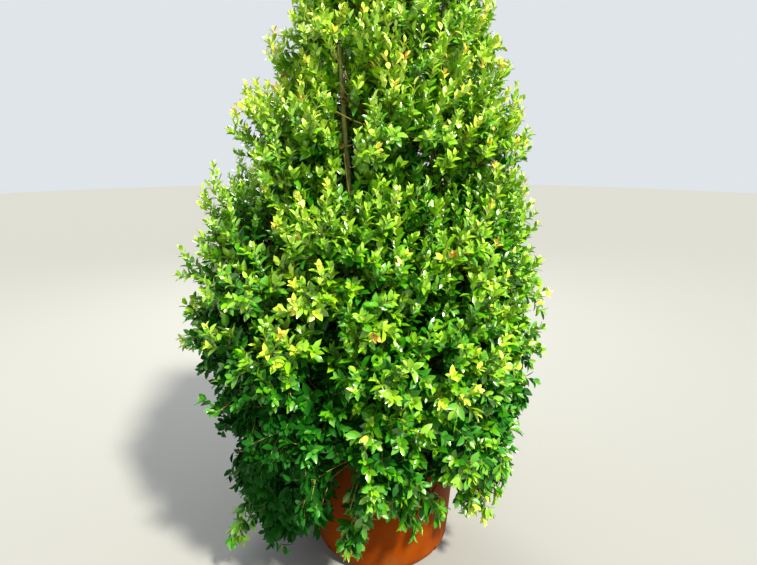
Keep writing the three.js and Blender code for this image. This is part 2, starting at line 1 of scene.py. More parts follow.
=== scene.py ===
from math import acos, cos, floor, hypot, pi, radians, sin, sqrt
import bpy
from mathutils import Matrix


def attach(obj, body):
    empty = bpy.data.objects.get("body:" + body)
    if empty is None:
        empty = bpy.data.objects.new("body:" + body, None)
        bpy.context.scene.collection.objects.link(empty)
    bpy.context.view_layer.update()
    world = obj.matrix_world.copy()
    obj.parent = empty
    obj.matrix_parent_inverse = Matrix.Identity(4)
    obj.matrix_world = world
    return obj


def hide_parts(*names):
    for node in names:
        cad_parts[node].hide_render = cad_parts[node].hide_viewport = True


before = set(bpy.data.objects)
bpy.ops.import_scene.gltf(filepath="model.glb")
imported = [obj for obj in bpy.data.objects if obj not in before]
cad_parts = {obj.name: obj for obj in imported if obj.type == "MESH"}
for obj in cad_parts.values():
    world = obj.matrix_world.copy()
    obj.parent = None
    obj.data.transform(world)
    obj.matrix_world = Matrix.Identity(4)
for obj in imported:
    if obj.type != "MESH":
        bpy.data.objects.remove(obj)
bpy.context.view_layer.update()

# A potted brush cherry: a dense, leafy evergreen shrub in a terracotta-coloured nursery pot.
# Metres, z up. The limbs and shoots grow by the same seeded rule as the solids in the frame, and are then
# carried on to side twigs and to leaves of their real size.
from types import SimpleNamespace as Values

import bpy
import numpy as np
from mathutils import Vector, noise

# Sizes that the solids share

UP = np.array([0.0, 0.0, 1.0])
GOLDEN_ANGLE = pi * (3 - sqrt(5))
GAP = 0.0003
POT = Values(
    height=0.385, foot_radius=0.207, wall_radius=0.233, rim_radius=0.239,
    rim_band=0.036, lip=0.005, wall=0.003, corner_radius=0.048,
)
DRAIN = Values(count=7, width=0.017, height=0.042, depth=0.04)
SOIL = Values(edge=0.336, top=0.348, flat_radius=0.06)
TRUNK = Values(
    top=1.68, foot_radius=0.035, collar_radius=0.023, tip_radius=0.005, tip_y=0.008, buried=0.008,
    flare_height=0.075, flare_power=1.6, flare_lobes=5, flare_depth=0.1,
    bends=[(0.007, 0.006, 0.14), (-0.004, 0.014, 0.4), (0.014, 0.016, 0.7)],
)
CROWN = Values(
    top=2.17, widest=0.8, radius=0.52, sway=(-0.055, 0.025), sway_top=1.65, peak=1.4, tuck=0.35,
    foot=0.08, foot_rise=0.22, foot_turn=200, parting_turn=-82, parting_width=40, parting_rise=0.27,
)
MASS = Values(shoots=7, spread=105, lowest=0.62, shares=(0.9, 1.04), bend=0.16, stride=0.008)
STEMS = {
    "stem_left": (0.52, (-0.104, -0.185, 1.48)),
    "stem_right": (0.585, (0.15, -0.052, 1.47)),
    "stem_back": (0.55, (0.01, 0.138, 1.46)),
}
STEM = Values(radius=0.013, tip_radius=0.0046, taper=0.8, splay=0.62, lean=0.1)
RING_KEYS = ("name", "count", "height", "turn", "reach", "rise", "droop", "climb")
RINGS = [
    Values(**dict(zip(RING_KEYS, row)))
    for row in (
        ("skirt", 6, 0.415, -90, 0.73, -8, 1.4, -0.015),
        ("lower", 6, 0.69, -120, 0.7, 2, 0.2, 0.15),
        ("middle", 6, 0.985, -90, 0.66, 12, -1, 0.19),
        ("upper", 5, 1.275, -82, 0.56, 24, -1, 0.17),
        ("high", 3, 1.555, -150, 0.5, 40, -0.7, 0),
        ("top", 1, 1.82, 0, 0, 89, -0.4, 0),
    )
]
SKIRT = Values(follow=0.35, mean_foot=0.25)
UNEVEN = Values(turn=5, height=0.018)
HEARTS = (0.44, 0.7, 0.985)  # heights of the points that keep the heart of the crown bare
BOUGH = Values(
    radius=0.0085, tip_radius=0.005, taper=0.7, most_of_limb=0.85, on_side=0.8,
    shortest=0.075, inset=0.004, rise=(0.5, 0.95), tip_rise=0.15, highest=0.96,
)
SIDES = ("right", "back_right", "back", "back_left", "left", "front_left", "front", "front_right")
# Tips of the long shoots that stand out of the crown, by their mass. The solids have the first five here.
SPRIGS = [
    ("skirt_front_left", (-0.44, -0.235, 0.112)),
    ("lower_left", (-0.585, -0.04, 0.8)),
    ("upper_front_left", (-0.385, -0.06, 1.395)),
    ("skirt_front", (-0.092, -0.292, 0.13)),
    ("skirt_front", (0.108, -0.292, 0.215)),
    ("lower_left", (-0.632, -0.02, 0.668)),
    ("skirt_front", (0.178, -0.27, 0.255)),
    ("skirt_front_right", (0.25, -0.24, 0.22)),
    ("skirt_front_right", (0.317, -0.2, 0.18)),
    ("skirt_front_right", (0.36, -0.13, 0.21)),
    ("upper_front_left", (-0.3, -0.03, 1.535)),
]

# Sizes of what only the looks have. A pair is for the crown's foot and for its top, unless a comment says
# otherwise.

# How uneven what grows is: the least and the most share of its usual measure.
VARIED = Values(
    twig_spread=(0.7, 1.3), twig_length=(0.65, 1.2), inner_length=(0.5, 1.1),
    leaf_spread=(0.75, 1.3), leaf_size=(0.84, 1.14), leaf_fold=(0.4, 1.6), leaf_curl=(0.1, 1.8),
)
# A long shoot: where on its mass's stem it starts, how far short of its leaves' tips it ends, the tone of
# its leaves, and its side twigs. The tone is high, which paints its leaves lighter, as painted light for
# the sun that falls on them.
SPRIG = Values(root=0.9, short_of=0.035, tone=0.95, side_spacing=0.03, side_length=0.05)
SHOOT = Values(
    finer=22,  # shoots of each mass between those of the solids
    lowest=0.3,  # where on the mass's stem the lowest of these grows
    shares=(0.72, 1.04),  # the least and the most of their free way that they take
    short_of=0.018,  # how far from the edge of its way a shoot ends
    bend=(-0.2, 0.8),  # the least and the most bend of these, as a share of their lift
    seed=14,  # added to each mass's own
    bare=0.05,  # without side twigs, next to the mass's stem
    pair_spacing=(0.036, 0.046),
    radius=0.0024,
    tip_radius=0.001,
    tube=(7, 4),  # stations along it and sides round it
)
TWIG = Values(
    lengths=(0.115, 0.085),
    first=0.4,  # where the pair next to a shoot's tip is, as a share of the spacing
    tip_share=0.4,  # the length of side twigs next to a shoot's tip, as a share of the lowest ones
    full_after=0.12,  # how far from the tip they reach their full length
    rise=0.8,  # how much of their lift turns them upward
    bend=(-0.08, 0.12),  # the least and the most bend that is added to their lift
    radius=0.0012,
    tip_radius=0.0006,
    tube=(3, 3),
    yellow_from=0.6,  # the tone from which a side twig is yellow, and not green
    stray=0.07,  # how far twigs may pass out of their mass's space
    proud=0.02,  # how far they may pass out of the crown
)
MASS_STEM = Values(tip_radius=0.003, tube=(12, 8))
# How far twigs, leaves, and the side twigs of long shoots keep from the pot, and twigs from the limbs.
CLEAR = Values(twig=0.004, leaf=0.003, sprig=0.006, limb=0.001)
# Twigs droop low in the skirt and turn upward higher in the crown.
LIFT = Values(low=-0.12, high=0.5, start=0.35, end=1.25)
# Short leafy twigs on the limbs themselves, which darken the heart of the crown.
INNER = Values(
    lowest=0.5, spacing=0.03, length=0.17, bend=0.1, tone=0.4, depth=0.04,
    forward=0.5, upward=0.3, side_spacing=0.04, side_length=0.07, side_depth=0.03, seed=501,
)
LEAF = Values(
    lengths=(0.0345, 0.0228),  # the second is on the upright shoots from the height "small_from"
    small_from=1.15,
    young=0.68,  # the size of the pair at the tip
    slimness=0.5,
    spacing=0.41,  # between pairs, as a share of a leaf's length
    second=0.6,  # where the second pair from the tip is, as a share of the spacing
    along=0.1,  # how much of a twig bears leaves, from its tip
    most=0.9,  # and what share of it at most
    fold=0.4,
    curl=0.28,
    facing=(0.8, 0.5),  # how far their faces turn along the twig, and upward
    stray=(0.1, 0.2),  # how unevenly they point, and face
    open=(0.42, 1.1),  # how far leaves spread at the twig's tip and at its foot, where 1 is 45 degrees
    full_step=4,  # the pair, counted from the tip, that spreads fully
    deepest=0.225,  # how far inside the crown the masses' own leaves go
    hang=0.01,  # how far they may reach below its lower edge
    overshoot=(0.035, 0.012),  # and past its outline
    parting=0.6,  # the middle part of a parting that their tips stay out of
)
# Rows across a leaf: how far along it they are, and their half width as a share of the leaf's.
LEAF_ROWS = ((0.24, 0.7), (0.56, 1.0), (0.84, 0.62))
# Leaves deeper in the crown than this are larger, with fewer rows.
DEEP = Values(depth=0.06, larger=1.25, rows=((0.33, 0.92), (0.72, 0.84)))
# Leaves are darker low in the crown, and most of all on the left, which the sun doesn't reach.
SHADE = Values(
    below=0.82,
    full_below=0.5,
    left_of=-0.05,
    full_left_of=-0.22,
    right=0.3,  # the share of the shade that reaches the right side
    on_sprigs=0.2,  # and the share that reaches the long shoots, which stand out of it
    darker=4.2,
)
# What makes up the number of a leaf's green: its spray's tone and its height add to the least, and its step
# back from the tip and its depth take away. The height adds painted light, and the depth inside the crown
# takes it away as painted shade.
LIGHT = Values(least=1.7, tone=2.3, height=2.4, step=0.4, depth=(2.8, 1.2), stray=0.45)
# Painted light and shade: the crown is painted lighter between these heights, and painted darker down to
# this depth inside it.
LIT = Values(foot=0.2, top=1.5, depth=0.2)
# Sprays from this tone on have young colours, unless they have this share of that depth or of the shade.
YOUNG_FROM = Values(tone=(0.9, 0.62), depth=0.5, shade=0.2)
# Which of the young colours one spray after another has. Below this height all have the first.
YOUNG_DEAL = (0, 1, 0, 2, 1, 0, 3)
WARM_FROM = 0.85
SPRAYS = 997  # how many sprays their tones tell apart
# Hollows in the crown's outline, and a swell.
HOLLOWS = [
    Values(place=(-0.52, -0.05, 0.44), size=(0.3, 0.38, 0.11), depth=0.17),
    Values(place=(0.33, 0, 1.56), size=(0.2, 0.4, 0.15), depth=0.03),
    Values(place=(-0.31, 0, 1.56), size=(0.15, 0.4, 0.1), depth=0.035),
    Values(place=(-0.56, -0.05, 0.84), size=(0.3, 0.4, 0.2), depth=-0.035),
]
# The photograph's width and focal length in pixels, where the camera stands, and how far it is turned down
# and to the left, in degrees.
VIEW = Values(width=757, focal=560, place=(0, -1.6, 1.274), down=14.76, turn=0.46)
# Partings in the front of the foliage: one shows the left stem, and one the pot's wall.
PARTINGS = [
    Values(foot=(-0.087, -0.16, 1.15), top=(-0.1035, -0.186, 1.47), left=0.013, right=0.019),
    Values(foot=(-0.1, -0.215, 0.19), top=(-0.1, -0.22, 0.37), left=0.036, right=0.036),
]
# The bark's relief: how fine its fissures and its knots are, round a limb and along it.
FISSURES = (3.2, 16)
KNOTS = Values(fine=(1.1, 9), least=0.35, height=4.8, apart=40)
# Relief is full on limbs this thick, and leaves at least this share of them. Rings crowd at a limb's foot.
BARK = Values(full_girth=0.012, least_girth=0.6, crowded=1.15)
# The finer shape of the pot's profile.
RIM = Values(hub=0.012, flat=0.05, corner=0.002, slope=0.001, roll=0.9)
# The potting mix: its hidden underside and its crumbs, which are calm round the trunk.
BED = Values(
    hub=0.002, side=0.02, under=((0.17, 0.2), (0.002, 0.19)), crumbs=60, relief=0.006, sunk=0.2, calm=0.03,
)
# Bark chips. A pair is the least and the most, and the shape is how long, wide and thick they are.
CHIPS = Values(
    count=900, seed=77, ring=(0.045, 0.215), slope_end=0.225, lengths=(0.003, 0.011), shape=(1, 0.55, 0.3),
    lift=(-0.001, 0.004), tilt=0.35, least_corner=0.55,
)
FLOOR = Values(radius=14, sides=96)
# Each lamp's kind, place, strength, colour, and its width: an angle for a sun, and metres for a disk.
LAMPS = {
    "key": ("SUN", (1.7, -1.9, 3.9), 6.8, (1.0, 0.96, 0.82), radians(6)),
    "back": ("AREA", (-0.6, 3.0, 2.9), 90, (1.0, 0.98, 0.94), 1.6),
}
LAMPS_AIM = (0, 0, 0.9)
SKY = Values(colour=(0.93, 0.95, 0.97), strength=0.88)


def lerp(a, b, t):
    return a + (b - a) * t


def part_way(value, start, end):
    """How far a value is on its way from one to another, from 0 to 1."""
    return np.clip((value - start) / (end - start), 0, 1)


def unit(vectors):
    return vectors / np.linalg.norm(vectors, axis=-1, keepdims=True)


# Seeded numbers and curves, worked out as they are for the solids


def seeded(seed):
    """A generator of numbers from 0 to 1."""
    mask = 0xFFFFFFFF
    state = seed & mask

    def draw():
        nonlocal state
        state = (state + 0x6D2B79F5) & mask
        t = ((state ^ (state >> 15)) * (state | 1)) & mask
        t ^= (t + (((t ^ (t >> 7)) * (t | 61)) & mask)) & mask
        return (t ^ (t >> 14)) / (mask + 1)

    return draw


class Curve:
    """A curve through space that is walked evenly from 0 to 1."""

    def __init__(self, at):
        self.at = at
        self.stations = np.linspace(0, 1, 201)
        points = np.array([at(t) for t in self.stations])
        steps = np.linalg.norm(np.diff(points, axis=0), axis=1)
        self.ways = np.concatenate([[0], np.cumsum(steps)])

    def station(self, share):
        return np.interp(share * self.ways[-1], self.ways, self.stations)

    def point(self, share):
        return self.at(self.station(share))

    def points(self, shares):
        return np.array([self.point(share) for share in shares])

    def heading(self, t):
        step = 0.0001
        return unit(self.at(min(t + step, 1)) - self.at(max(t - step, 0)))

    def tangent(self, share):
        return self.heading(self.station(share))


def bent_curve(start, end, leaving, arriving):
    """A curve that leaves one point and reaches another in the given directions."""
    handle = np.linalg.norm(end - start) / 3
    near = start + leaving * handle
    far = end - arriving * handle

    def at(t):
        s = 1 - t
        return s**3 * start + 3 * s * s * t * near + 3 * s * t * t * far + t**3 * end

    return Curve(at)


def smooth_curve(points):
    """A centripetal Catmull-Rom curve through points."""
    points = [np.array(point, float) for point in points]
    padded = [2 * points[0] - points[1], *points, 2 * points[-1] - points[-2]]

    def at(t):
        place = t * (len(points) - 1)
        i = min(int(place), len(points) - 2)
        p0, p1, p2, p3 = padded[i : i + 4]
        d0, d1, d2 = (sqrt(np.linalg.norm(b - a)) for a, b in ((p0, p1), (p1, p2), (p2, p3)))
        t1 = ((p1 - p0) / d0 - (p2 - p0) / (d0 + d1) + (p2 - p1) / d1) * d1
        t2 = ((p2 - p1) / d1 - (p3 - p1) / (d1 + d2) + (p3 - p2) / d2) * d1
        w = place - i
        return p1 + t1 * w + (3 * p2 - 3 * p1 - 2 * t1 - t2) * w * w + (2 * p1 - 2 * p2 + t1 + t2) * w**3

    return Curve(at)


def direction_at(polar, compass):
    """The direction at an angle from straight up, on one side of the compass."""
    flat = sin(polar)
    return np.array([flat * cos(compass), flat * sin(compass), cos(polar)])


def sideways(directions):
    """Directions square to other ones."""
    steep = np.abs(directions[..., 2:]) >= 0.9
    reference = np.where(steep, np.array([1.0, 0.0, 0.0]), UP)
    return unit(np.cross(directions, reference))


def turned(vectors, axes, angles):
    """Vectors square to their axes, turned round them."""
    angles = np.asarray(angles)[..., None]
    return vectors * np.cos(angles) + np.cross(axes, vectors) * np.sin(angles)


# The crown's own outline


def crown_middle(z):
    return lerp(*CROWN.sway, part_way(z, CROWN.widest, CROWN.sway_top))


def crown_radius(z):
    above = part_way(z, CROWN.widest, CROWN.top)
    below = np.clip((CROWN.widest - z) / (CROWN.widest - CROWN.foot), 0, None)
    return CROWN.radius * (1 - above ** CROWN.peak - CROWN.tuck * below**2)


def crown_foot(angle):
    """The lowest height that leaves hang to on one side: raised where the skirt parts over the pot."""
    aside = angle - radians(CROWN.parting_turn)
    from_parting = np.arctan2(np.sin(aside), np.cos(aside)) / radians(CROWN.parting_width)
    parting = CROWN.parting_rise * np.exp(-(from_parting**2))
    lean = 1 - np.cos(angle - radians(CROWN.foot_turn))
    return CROWN.foot + CROWN.foot_rise * lean / 2 + parting


def depth_in_crown(points):
    """How far points lie inside the crown's widest outline, level with them."""
    x, y, z = points[..., 0], points[..., 1], points[..., 2]
    return crown_radius(z) - np.hypot(x - crown_middle(z), y)


def hollow(points):
    """How far the outermost leaves draw in. Below zero, they stand out."""
    depth = 0
    for dent in HOLLOWS:
        away = np.linalg.norm((points - dent.place) / dent.size, axis=-1)
        depth += dent.depth * np.exp(-(away**2))
    return depth


def in_crown(points, margin, foot_margin=None):
    """Which points lie in the crown by a margin, and above its lower edge by that or by another margin."""
    foot = crown_foot(np.arctan2(points[..., 1], points[..., 0]))
    rise = margin if foot_margin is None else foot_margin
    level = (points[..., 2] > foot + rise) & (points[..., 2] < CROWN.top)
    return level & (depth_in_crown(points) > margin)


def where_leaves_reach(points):
    """Which points lie within the outline with its hollows, or as little past it as leaves may be."""
    overshoot = lerp(*LEAF.overshoot, points[..., 2] / CROWN.top)
    return in_crown(points, hollow(points) - overshoot, foot_margin=-LEAF.hang)


def clear_of_pot(points, margin):
    outward = np.hypot(points[..., 0], points[..., 1])
    return (points[..., 2] > POT.height + margin) | (outward > POT.rim_radius + POT.lip + margin)


def in_parting(points, part=1):
    """Which points lie in a parting, or in its middle part. It opens from what it shows to the camera."""
    found = np.zeros(points.shape[:-1], bool)
    for parting in PARTINGS:
        foot, top = np.array(parting.foot), np.array(parting.top)
        sight = VIEW.place - (foot + top) / 2
        forward = foot[1] - points[..., 1]
        back = points + sight / sight[1] * forward[..., None]
        share = (back[..., 2] - foot[2]) / (top[2] - foot[2])
        aside = back[..., 0] - lerp(foot[0], top[0], share)
        level = (share > 0) & (share < 1) & (forward > 0)
        found |= level & (aside > -part * parting.left) & (aside < part * parting.right)
    return found


# Limbs


class Limb:
    """A tapering limb along a curve."""

    def __init__(self, name, curve, radius_at):
        self.name = name
        self.curve = curve
        self.radius_at = radius_at
        shares = np.linspace(0, 1, 25)
        self.points = curve.points(shares)
        self.radii = np.array([radius_at(t) for t in shares])

    def share_at(self, height):
        return part_way(height, self.points[0][2], self.points[-1][2])


def clear_of_limbs(points, limbs, margin):
    """Which points lie outside all limbs by a margin."""
    starts = np.concatenate([limb.points[:-1] for limb in limbs])
    ways = np.concatenate([np.diff(limb.points, axis=0) for limb in limbs])
    radii = np.concatenate([limb.radii[1:] for limb in limbs])
    away = points[:, None, :] - starts
    along = np.clip(np.einsum("nmk,mk->nm", away, ways) / np.einsum("mk,mk->m", ways, ways), 0, 1)
    nearest = np.linalg.norm(away - along[..., None] * ways, axis=2)
    return (nearest > radii + margin).all(axis=1)


def make_trunk():
    foot = SOIL.top + GAP
    height = TRUNK.top - foot
    bends = [(x, y, foot + share * height) for x, y, share in TRUNK.bends]
    tip = (crown_middle(TRUNK.top), TRUNK.tip_y, TRUNK.top)
    curve = smooth_curve([(0, 0, foot - TRUNK.buried), *bends, tip])

    def radius_at(t):
        flare = max(0, 1 - t * height / TRUNK.flare_height) ** TRUNK.flare_power
        spread = (TRUNK.foot_radius - TRUNK.collar_radius) * flare
        return lerp(TRUNK.collar_radius, TRUNK.tip_radius, t) + spread

    return Limb("trunk", curve, radius_at)


def make_stem(name, fork, tip, trunk):
    start = trunk.curve.point(trunk.share_at(fork))
    tip = np.array(tip)
    outward = unit(tip * (1, 1, 0))
    curve = bent_curve(start, tip, unit(outward * STEM.splay + UP), unit(outward * STEM.lean + UP))
    return Limb(name, curve, lambda t: lerp(STEM.radius, STEM.tip_radius, t**STEM.taper))


# Foliage masses


class Mass:
    """One mass of foliage: where it is, the way it faces, and where its own stem starts."""

    def __init__(self, row, ring, number):
        self.ring = ring
        self.seed = 1000 + 100 * row + number
        self.random = seeded(self.seed)
        degrees = ring.turn + 360 / ring.count * number
        self.angle = radians(degrees + lerp(-UNEVEN.turn, UNEVEN.turn, self.random()))
        sag = 0
        if ring.name == "skirt":
            sag = SKIRT.follow * (crown_foot(self.angle) - SKIRT.mean_foot)
        height = ring.height + lerp(-UNEVEN.height, UNEVEN.height, self.random()) + sag
        reach = crown_radius(height) * ring.reach
        across = reach * cos(self.angle)
        self.centre = np.array([crown_middle(height) + across, reach * sin(self.angle), height])
        side = "_" + SIDES[floor(degrees / 45 + 0.5) % 8] if ring.count > 1 else ""
        self.label = ring.name + side
        self.axis = direction_at(radians(90 - ring.rise), self.angle)

    def plan_space(self, centres):
        """Its flat sides: halfway to each neighbour and to the bare heart of the crown."""
        away = centres - self.centre
        far = np.linalg.norm(away, axis=1) > 0
        self.normals = unit(away[far])
        middles = (centres[far] + self.centre) / 2
        self.offsets = np.einsum("nk,nk->n", self.normals, middles)

    def holds(self, points, margin):
        return (points @ self.normals.T < self.offsets - margin).all(axis=-1)

    def free_way(self, start, direction, stray=0.0):
        """How far one can go from a point before leaving its space, or straying from it, or the crown."""
        closing = self.normals @ direction
        rooms = self.offsets + stray - self.normals @ start
        ahead = closing > 1e-6
        way = max(min([1.0, *(rooms[ahead] / closing[ahead])]), 0)
        gone = np.arange(0, way, MASS.stride)
        points = start + gone[:, None] * direction
        out = ~(in_crown(points, 0) & clear_of_pot(points, CLEAR.twig))
        return gone[out.argmax()] if out.any() else way

    def first_inside(self, point_at, margin):
        """How far along a path it first lies inside the mass's space by a margin."""
        shares = np.linspace(0, 1, 81)
        inside = self.holds(np.array([point_at(t) for t in shares]), margin)
        return shares[inside.argmax()] if inside.any() else 1

    def start_on(self, limb, share, direction, radius):
        self.start = limb.curve.point(share)
        self.start_direction = direction
        self.start_radius = radius

    def start_on_tip(self, limb):
        self.start_on(limb, 1, limb.curve.tangent(1), limb.radius_at(1))


def plan_masses():
    masses = [Mass(row, ring, i) for row, ring in enumerate(RINGS) for i in range(ring.count)]
    hearts = [(crown_middle(z), 0, z) for z in HEARTS]
    centres = np.array([*(mass.centre for mass in masses), *hearts])
    for mass in masses:
        mass.plan_space(centres)
    return masses


def make_bough(mass, uprights):
    """The bough that carries a mass, or None where the mass sits on the trunk or a stem."""
    for limb in uprights:
        if mass.holds(limb.curve.point(1), BOUGH.inset + 0.001):
            mass.start_on_tip(limb)
            return None
    height = mass.centre[2] - mass.ring.climb
    feet = [(limb, min(limb.share_at(height), BOUGH.highest)) for limb in uprights]
    limb, share = min(feet, key=lambda foot: np.linalg.norm(foot[0].curve.point(foot[1]) - mass.centre))
    foot = limb.curve.point(share)
    outward = direction_at(pi / 2, mass.angle)
    skirt_rise, rise = BOUGH.rise
    leaving = unit(outward + UP * (rise if mass.ring.climb > 0 else skirt_rise))
    arriving = unit(outward + UP * (sin(radians(mass.ring.rise)) + BOUGH.tip_rise))
    whole = bent_curve(foot, mass.centre, leaving, arriving)
    entry = mass.first_inside(whole.at, BOUGH.inset)
    end = whole.at(entry)
    if np.linalg.norm(end - foot) < BOUGH.shortest:
        inside = mass.first_inside(limb.curve.point, BOUGH.inset * 3)
        radius = min(limb.radius_at(inside) * BOUGH.on_side, BOUGH.tip_radius)
        mass.start_on(limb, inside, leaving, radius)
        return None
    root_radius = min(limb.radius_at(share) * BOUGH.most_of_limb, BOUGH.radius)
    curve = bent_curve(foot, end, leaving, whole.heading(entry))

    def radius_at(t):
        return lerp(root_radius, BOUGH.tip_radius, t**BOUGH.taper)

    bough = Limb("bough_" + mass.label, curve, radius_at)
    mass.start_on_tip(bough)
    return bough


# Shoots, side twigs and leaves


class Batch:
    """Arrays with one entry for each shoot, twig or leaf."""

    def __init__(self, **arrays):
        for name, values in arrays.items():
            setattr(self, name, np.asarray(values))

    def kept(self, keep):
        return type(self)(**{name: values[keep] for name, values in vars(self).items()})

    @classmethod
    def joined(cls, parts):
        names = vars(parts[0])
        return cls(**{name: np.concatenate([getattr(part, name) for part in parts]) for name in names})


def leaf_tips(leaves):
    return leaves.roots + leaves.directions * leaves.sizes[:, None]


class Twigs(Batch):
    """Thin shoots: each leaves its start in a direction, and bends up or down on its way.

    A tone from 0 to 1 says how light its leaves are, and a turn how its first pair of leaves is set.
    """

    @classmethod
    def from_rows(cls, rows):
        names = ("starts", "directions", "lengths", "bends", "turns", "tones")
        return cls(**dict(zip(names, zip(*rows))))

    def at(self, shares):
        """Points for an array of shares of each twig's length."""
        way = (self.directions * self.lengths[:, None])[:, None]
        shares = shares[..., None]
        return self.starts[:, None] + way * shares + UP * self.bends[:, None, None] * shares**2

    def tangents_at(self, shares):
        way = (self.directions * self.lengths[:, None])[:, None]
        return unit(way + 2 * UP * (self.bends[:, None] * shares)[..., None])

    def paths(self, stations):
        shares = np.broadcast_to(np.linspace(0, 1, stations), (len(self.lengths), stations))
        return self.at(shares)

    def passed(self, test, stations):
        """Which stations along each twig pass a test."""
        points = self.paths(stations)
        return test(points.reshape(-1, 3)).reshape(points.shape[:2])

    def where_all(self, test, stations=4):
        """The twigs that pass a test at every station after the first."""
        return self.kept(self.passed(test, stations)[:, 1:].all(axis=1))

    def cut_back(self, test, stations=25):
        """The twigs as far as they pass a test."""
        passed = self.passed(test, stations)
        last = np.where(passed.all(axis=1), stations, passed.argmin(axis=1)) - 1
        ends = np.maximum(last, 1) / (stations - 1)
        return Twigs(**{**vars(self), "lengths": self.lengths * ends, "bends": self.bends * ends**2})

    def pairs_at(self, from_tip, step):
        """Where opposite pairs grow, each turned a quarter from the last: places, headings and sides."""
        shares = (1 - from_tip / self.lengths)[:, None]
        tangents = self.tangents_at(shares)[:, 0]
        sides = turned(sideways(tangents), tangents, self.turns + step * pi / 2)
        return self.at(shares)[:, 0], tangents, sides


def spaced(lengths, spacing):
    """Steps along each of many twigs: whose step it is, and its number."""
    counts = np.maximum((lengths / spacing).astype(int), 0) + 1
    index = np.repeat(np.arange(len(counts)), counts)
    return index, np.arange(len(index)) - np.repeat(np.cumsum(counts) - counts, counts)


def lift_at(heights):
    rise = part_way(heights, LIFT.start, LIFT.end)
    return lerp(LIFT.low, LIFT.high, rise * rise * (3 - 2 * rise))


def spiral_direction(turn, phase, k, count):
    """One of many directions on a spiral round the way that a mass faces."""
    widest = cos(radians(MASS.spread))
    polar = acos(1 - (1 - widest) * k / count)
    return np.array(turn @ Vector(direction_at(polar, phase + k * GOLDEN_ANGLE)))


def own_shoots(mass, stem, turn, phase):
    """The shoots that the solids have too."""
    for k in range(MASS.shoots):
        direction = spiral_direction(turn, phase, k, MASS.shoots - 1)
        start = stem.point(lerp(1, MASS.lowest, k / MASS.shoots))
        tone = mass.random()
        length = mass.free_way(start, direction) * lerp(*MASS.shares, tone) - SHOOT.short_of
        pairs_turn = seeded(floor(mass.random() * 1e9))() * pi
        yield start, direction, length, -mass.ring.droop * MASS.bend * length, pairs_turn, tone


def finer_shoots(mass, stem, turn, phase, rng):
    """More shoots, on a spiral between the first ones."""
    for k in range(SHOOT.finer):
        direction = spiral_direction(turn, phase, k + 0.5, SHOOT.finer)
        start = stem.point(lerp(1, SHOOT.lowest, rng.random()))
        lift = lift_at(start[2])
        if lift > 0:
            direction = unit(direction + UP * lift * (1 - mass.axis[2]) * rng.random())
        tone = rng.random()
        way = mass.free_way(start, direction, TWIG.stray)
        length = way * lerp(*SHOOT.shares, rng.random()) - SHOOT.short_of
        yield start, direction, length, lift * rng.uniform(*SHOOT.bend) * length, rng.random() * pi, tone


def way_is_free(points, mass, limbs):
    """Which points are clear of the pot and the limbs, and hardly out of a mass's space."""
    clear = clear_of_pot(points, CLEAR.twig) & clear_of_limbs(points, limbs, CLEAR.limb)
    return clear & mass.holds(points, -TWIG.stray)


def grow_shoots(mass, stem, limbs, rng):
    turn = Vector(UP).rotation_difference(Vector(mass.axis))
    phase = mass.random() * pi * 2
    rows = [*own_shoots(mass, stem, turn, phase), *finer_shoots(mass, stem, turn, phase, rng)]
    shoots = Twigs.from_rows(row for row in rows if row[2] > SHOOT.bare)
    return shoots.where_all(lambda points: way_is_free(points, mass, limbs), stations=6)


def grow_inner_twigs(limbs, rng):
    """Leafy twigs all round the limbs, inside the crown."""
    rows = []
    for limb in limbs:
        count = int(limb.curve.ways[-1] / INNER.spacing)
        for k in range(count):
            share = (k + 0.5) / count
            start = limb.curve.point(share)
            if start[2] < INNER.lowest:
                continue
            tangent = limb.curve.tangent(share)
            outward = turned(sideways(tangent), tangent, k * GOLDEN_ANGLE)
            direction = unit(outward + tangent * INNER.forward + UP * INNER.upward)
            length = INNER.length * rng.uniform(*VARIED.inner_length)
            rows.append((start, direction, length, INNER.bend * length, rng.random() * 3, INNER.tone))
    return Twigs.from_rows(rows)


def grow_sprigs(mass, stem):
    """The long shoots that stand out of the crown."""
    tips = np.array([tip for label, tip in SPRIGS if label == mass.label]).reshape(-1, 3)
    ways = tips - stem.point(SPRIG.root)
    ones = np.ones(len(tips))
    return Twigs(
        starts=tips - ways,
        directions=unit(ways),
        lengths=np.linalg.norm(ways, axis=1) - SPRIG.short_of,
        bends=ones * 0,
        turns=ones,
        tones=ones * SPRIG.tone,
    )


def grow_side_twigs(shoots, spacing, longest, rng):
    """Side twigs in opposite pairs."""
    index, step = spaced(shoots.lengths - SHOOT.bare, spacing)
    parents = shoots.kept(index)
    from_tip = (step + TWIG.first) * spacing
    starts, tangents, sides = parents.pairs_at(from_tip, step)
    lift = lift_at(starts[:, 2])
    full = lerp(TWIG.tip_share, 1, part_way(from_tip, 0, TWIG.full_after)) * longest
    count = len(index)

    def on_side(way):
        spread = rng.uniform(*VARIED.twig_spread, count)[:, None] * way
        lengths = full * rng.uniform(*VARIED.twig_length, count)
        return Twigs(
            starts=starts,
            directions=unit(tangents + sides * spread + UP * lift[:, None] * TWIG.rise),
            lengths=lengths,
            bends=lengths * (lift + rng.uniform(*TWIG.bend, count)),
            turns=rng.uniform(0, pi, count),
            tones=lerp(parents.tones, rng.random(count), 0.5),
        )

    return Twigs.joined([on_side(1), on_side(-1)])


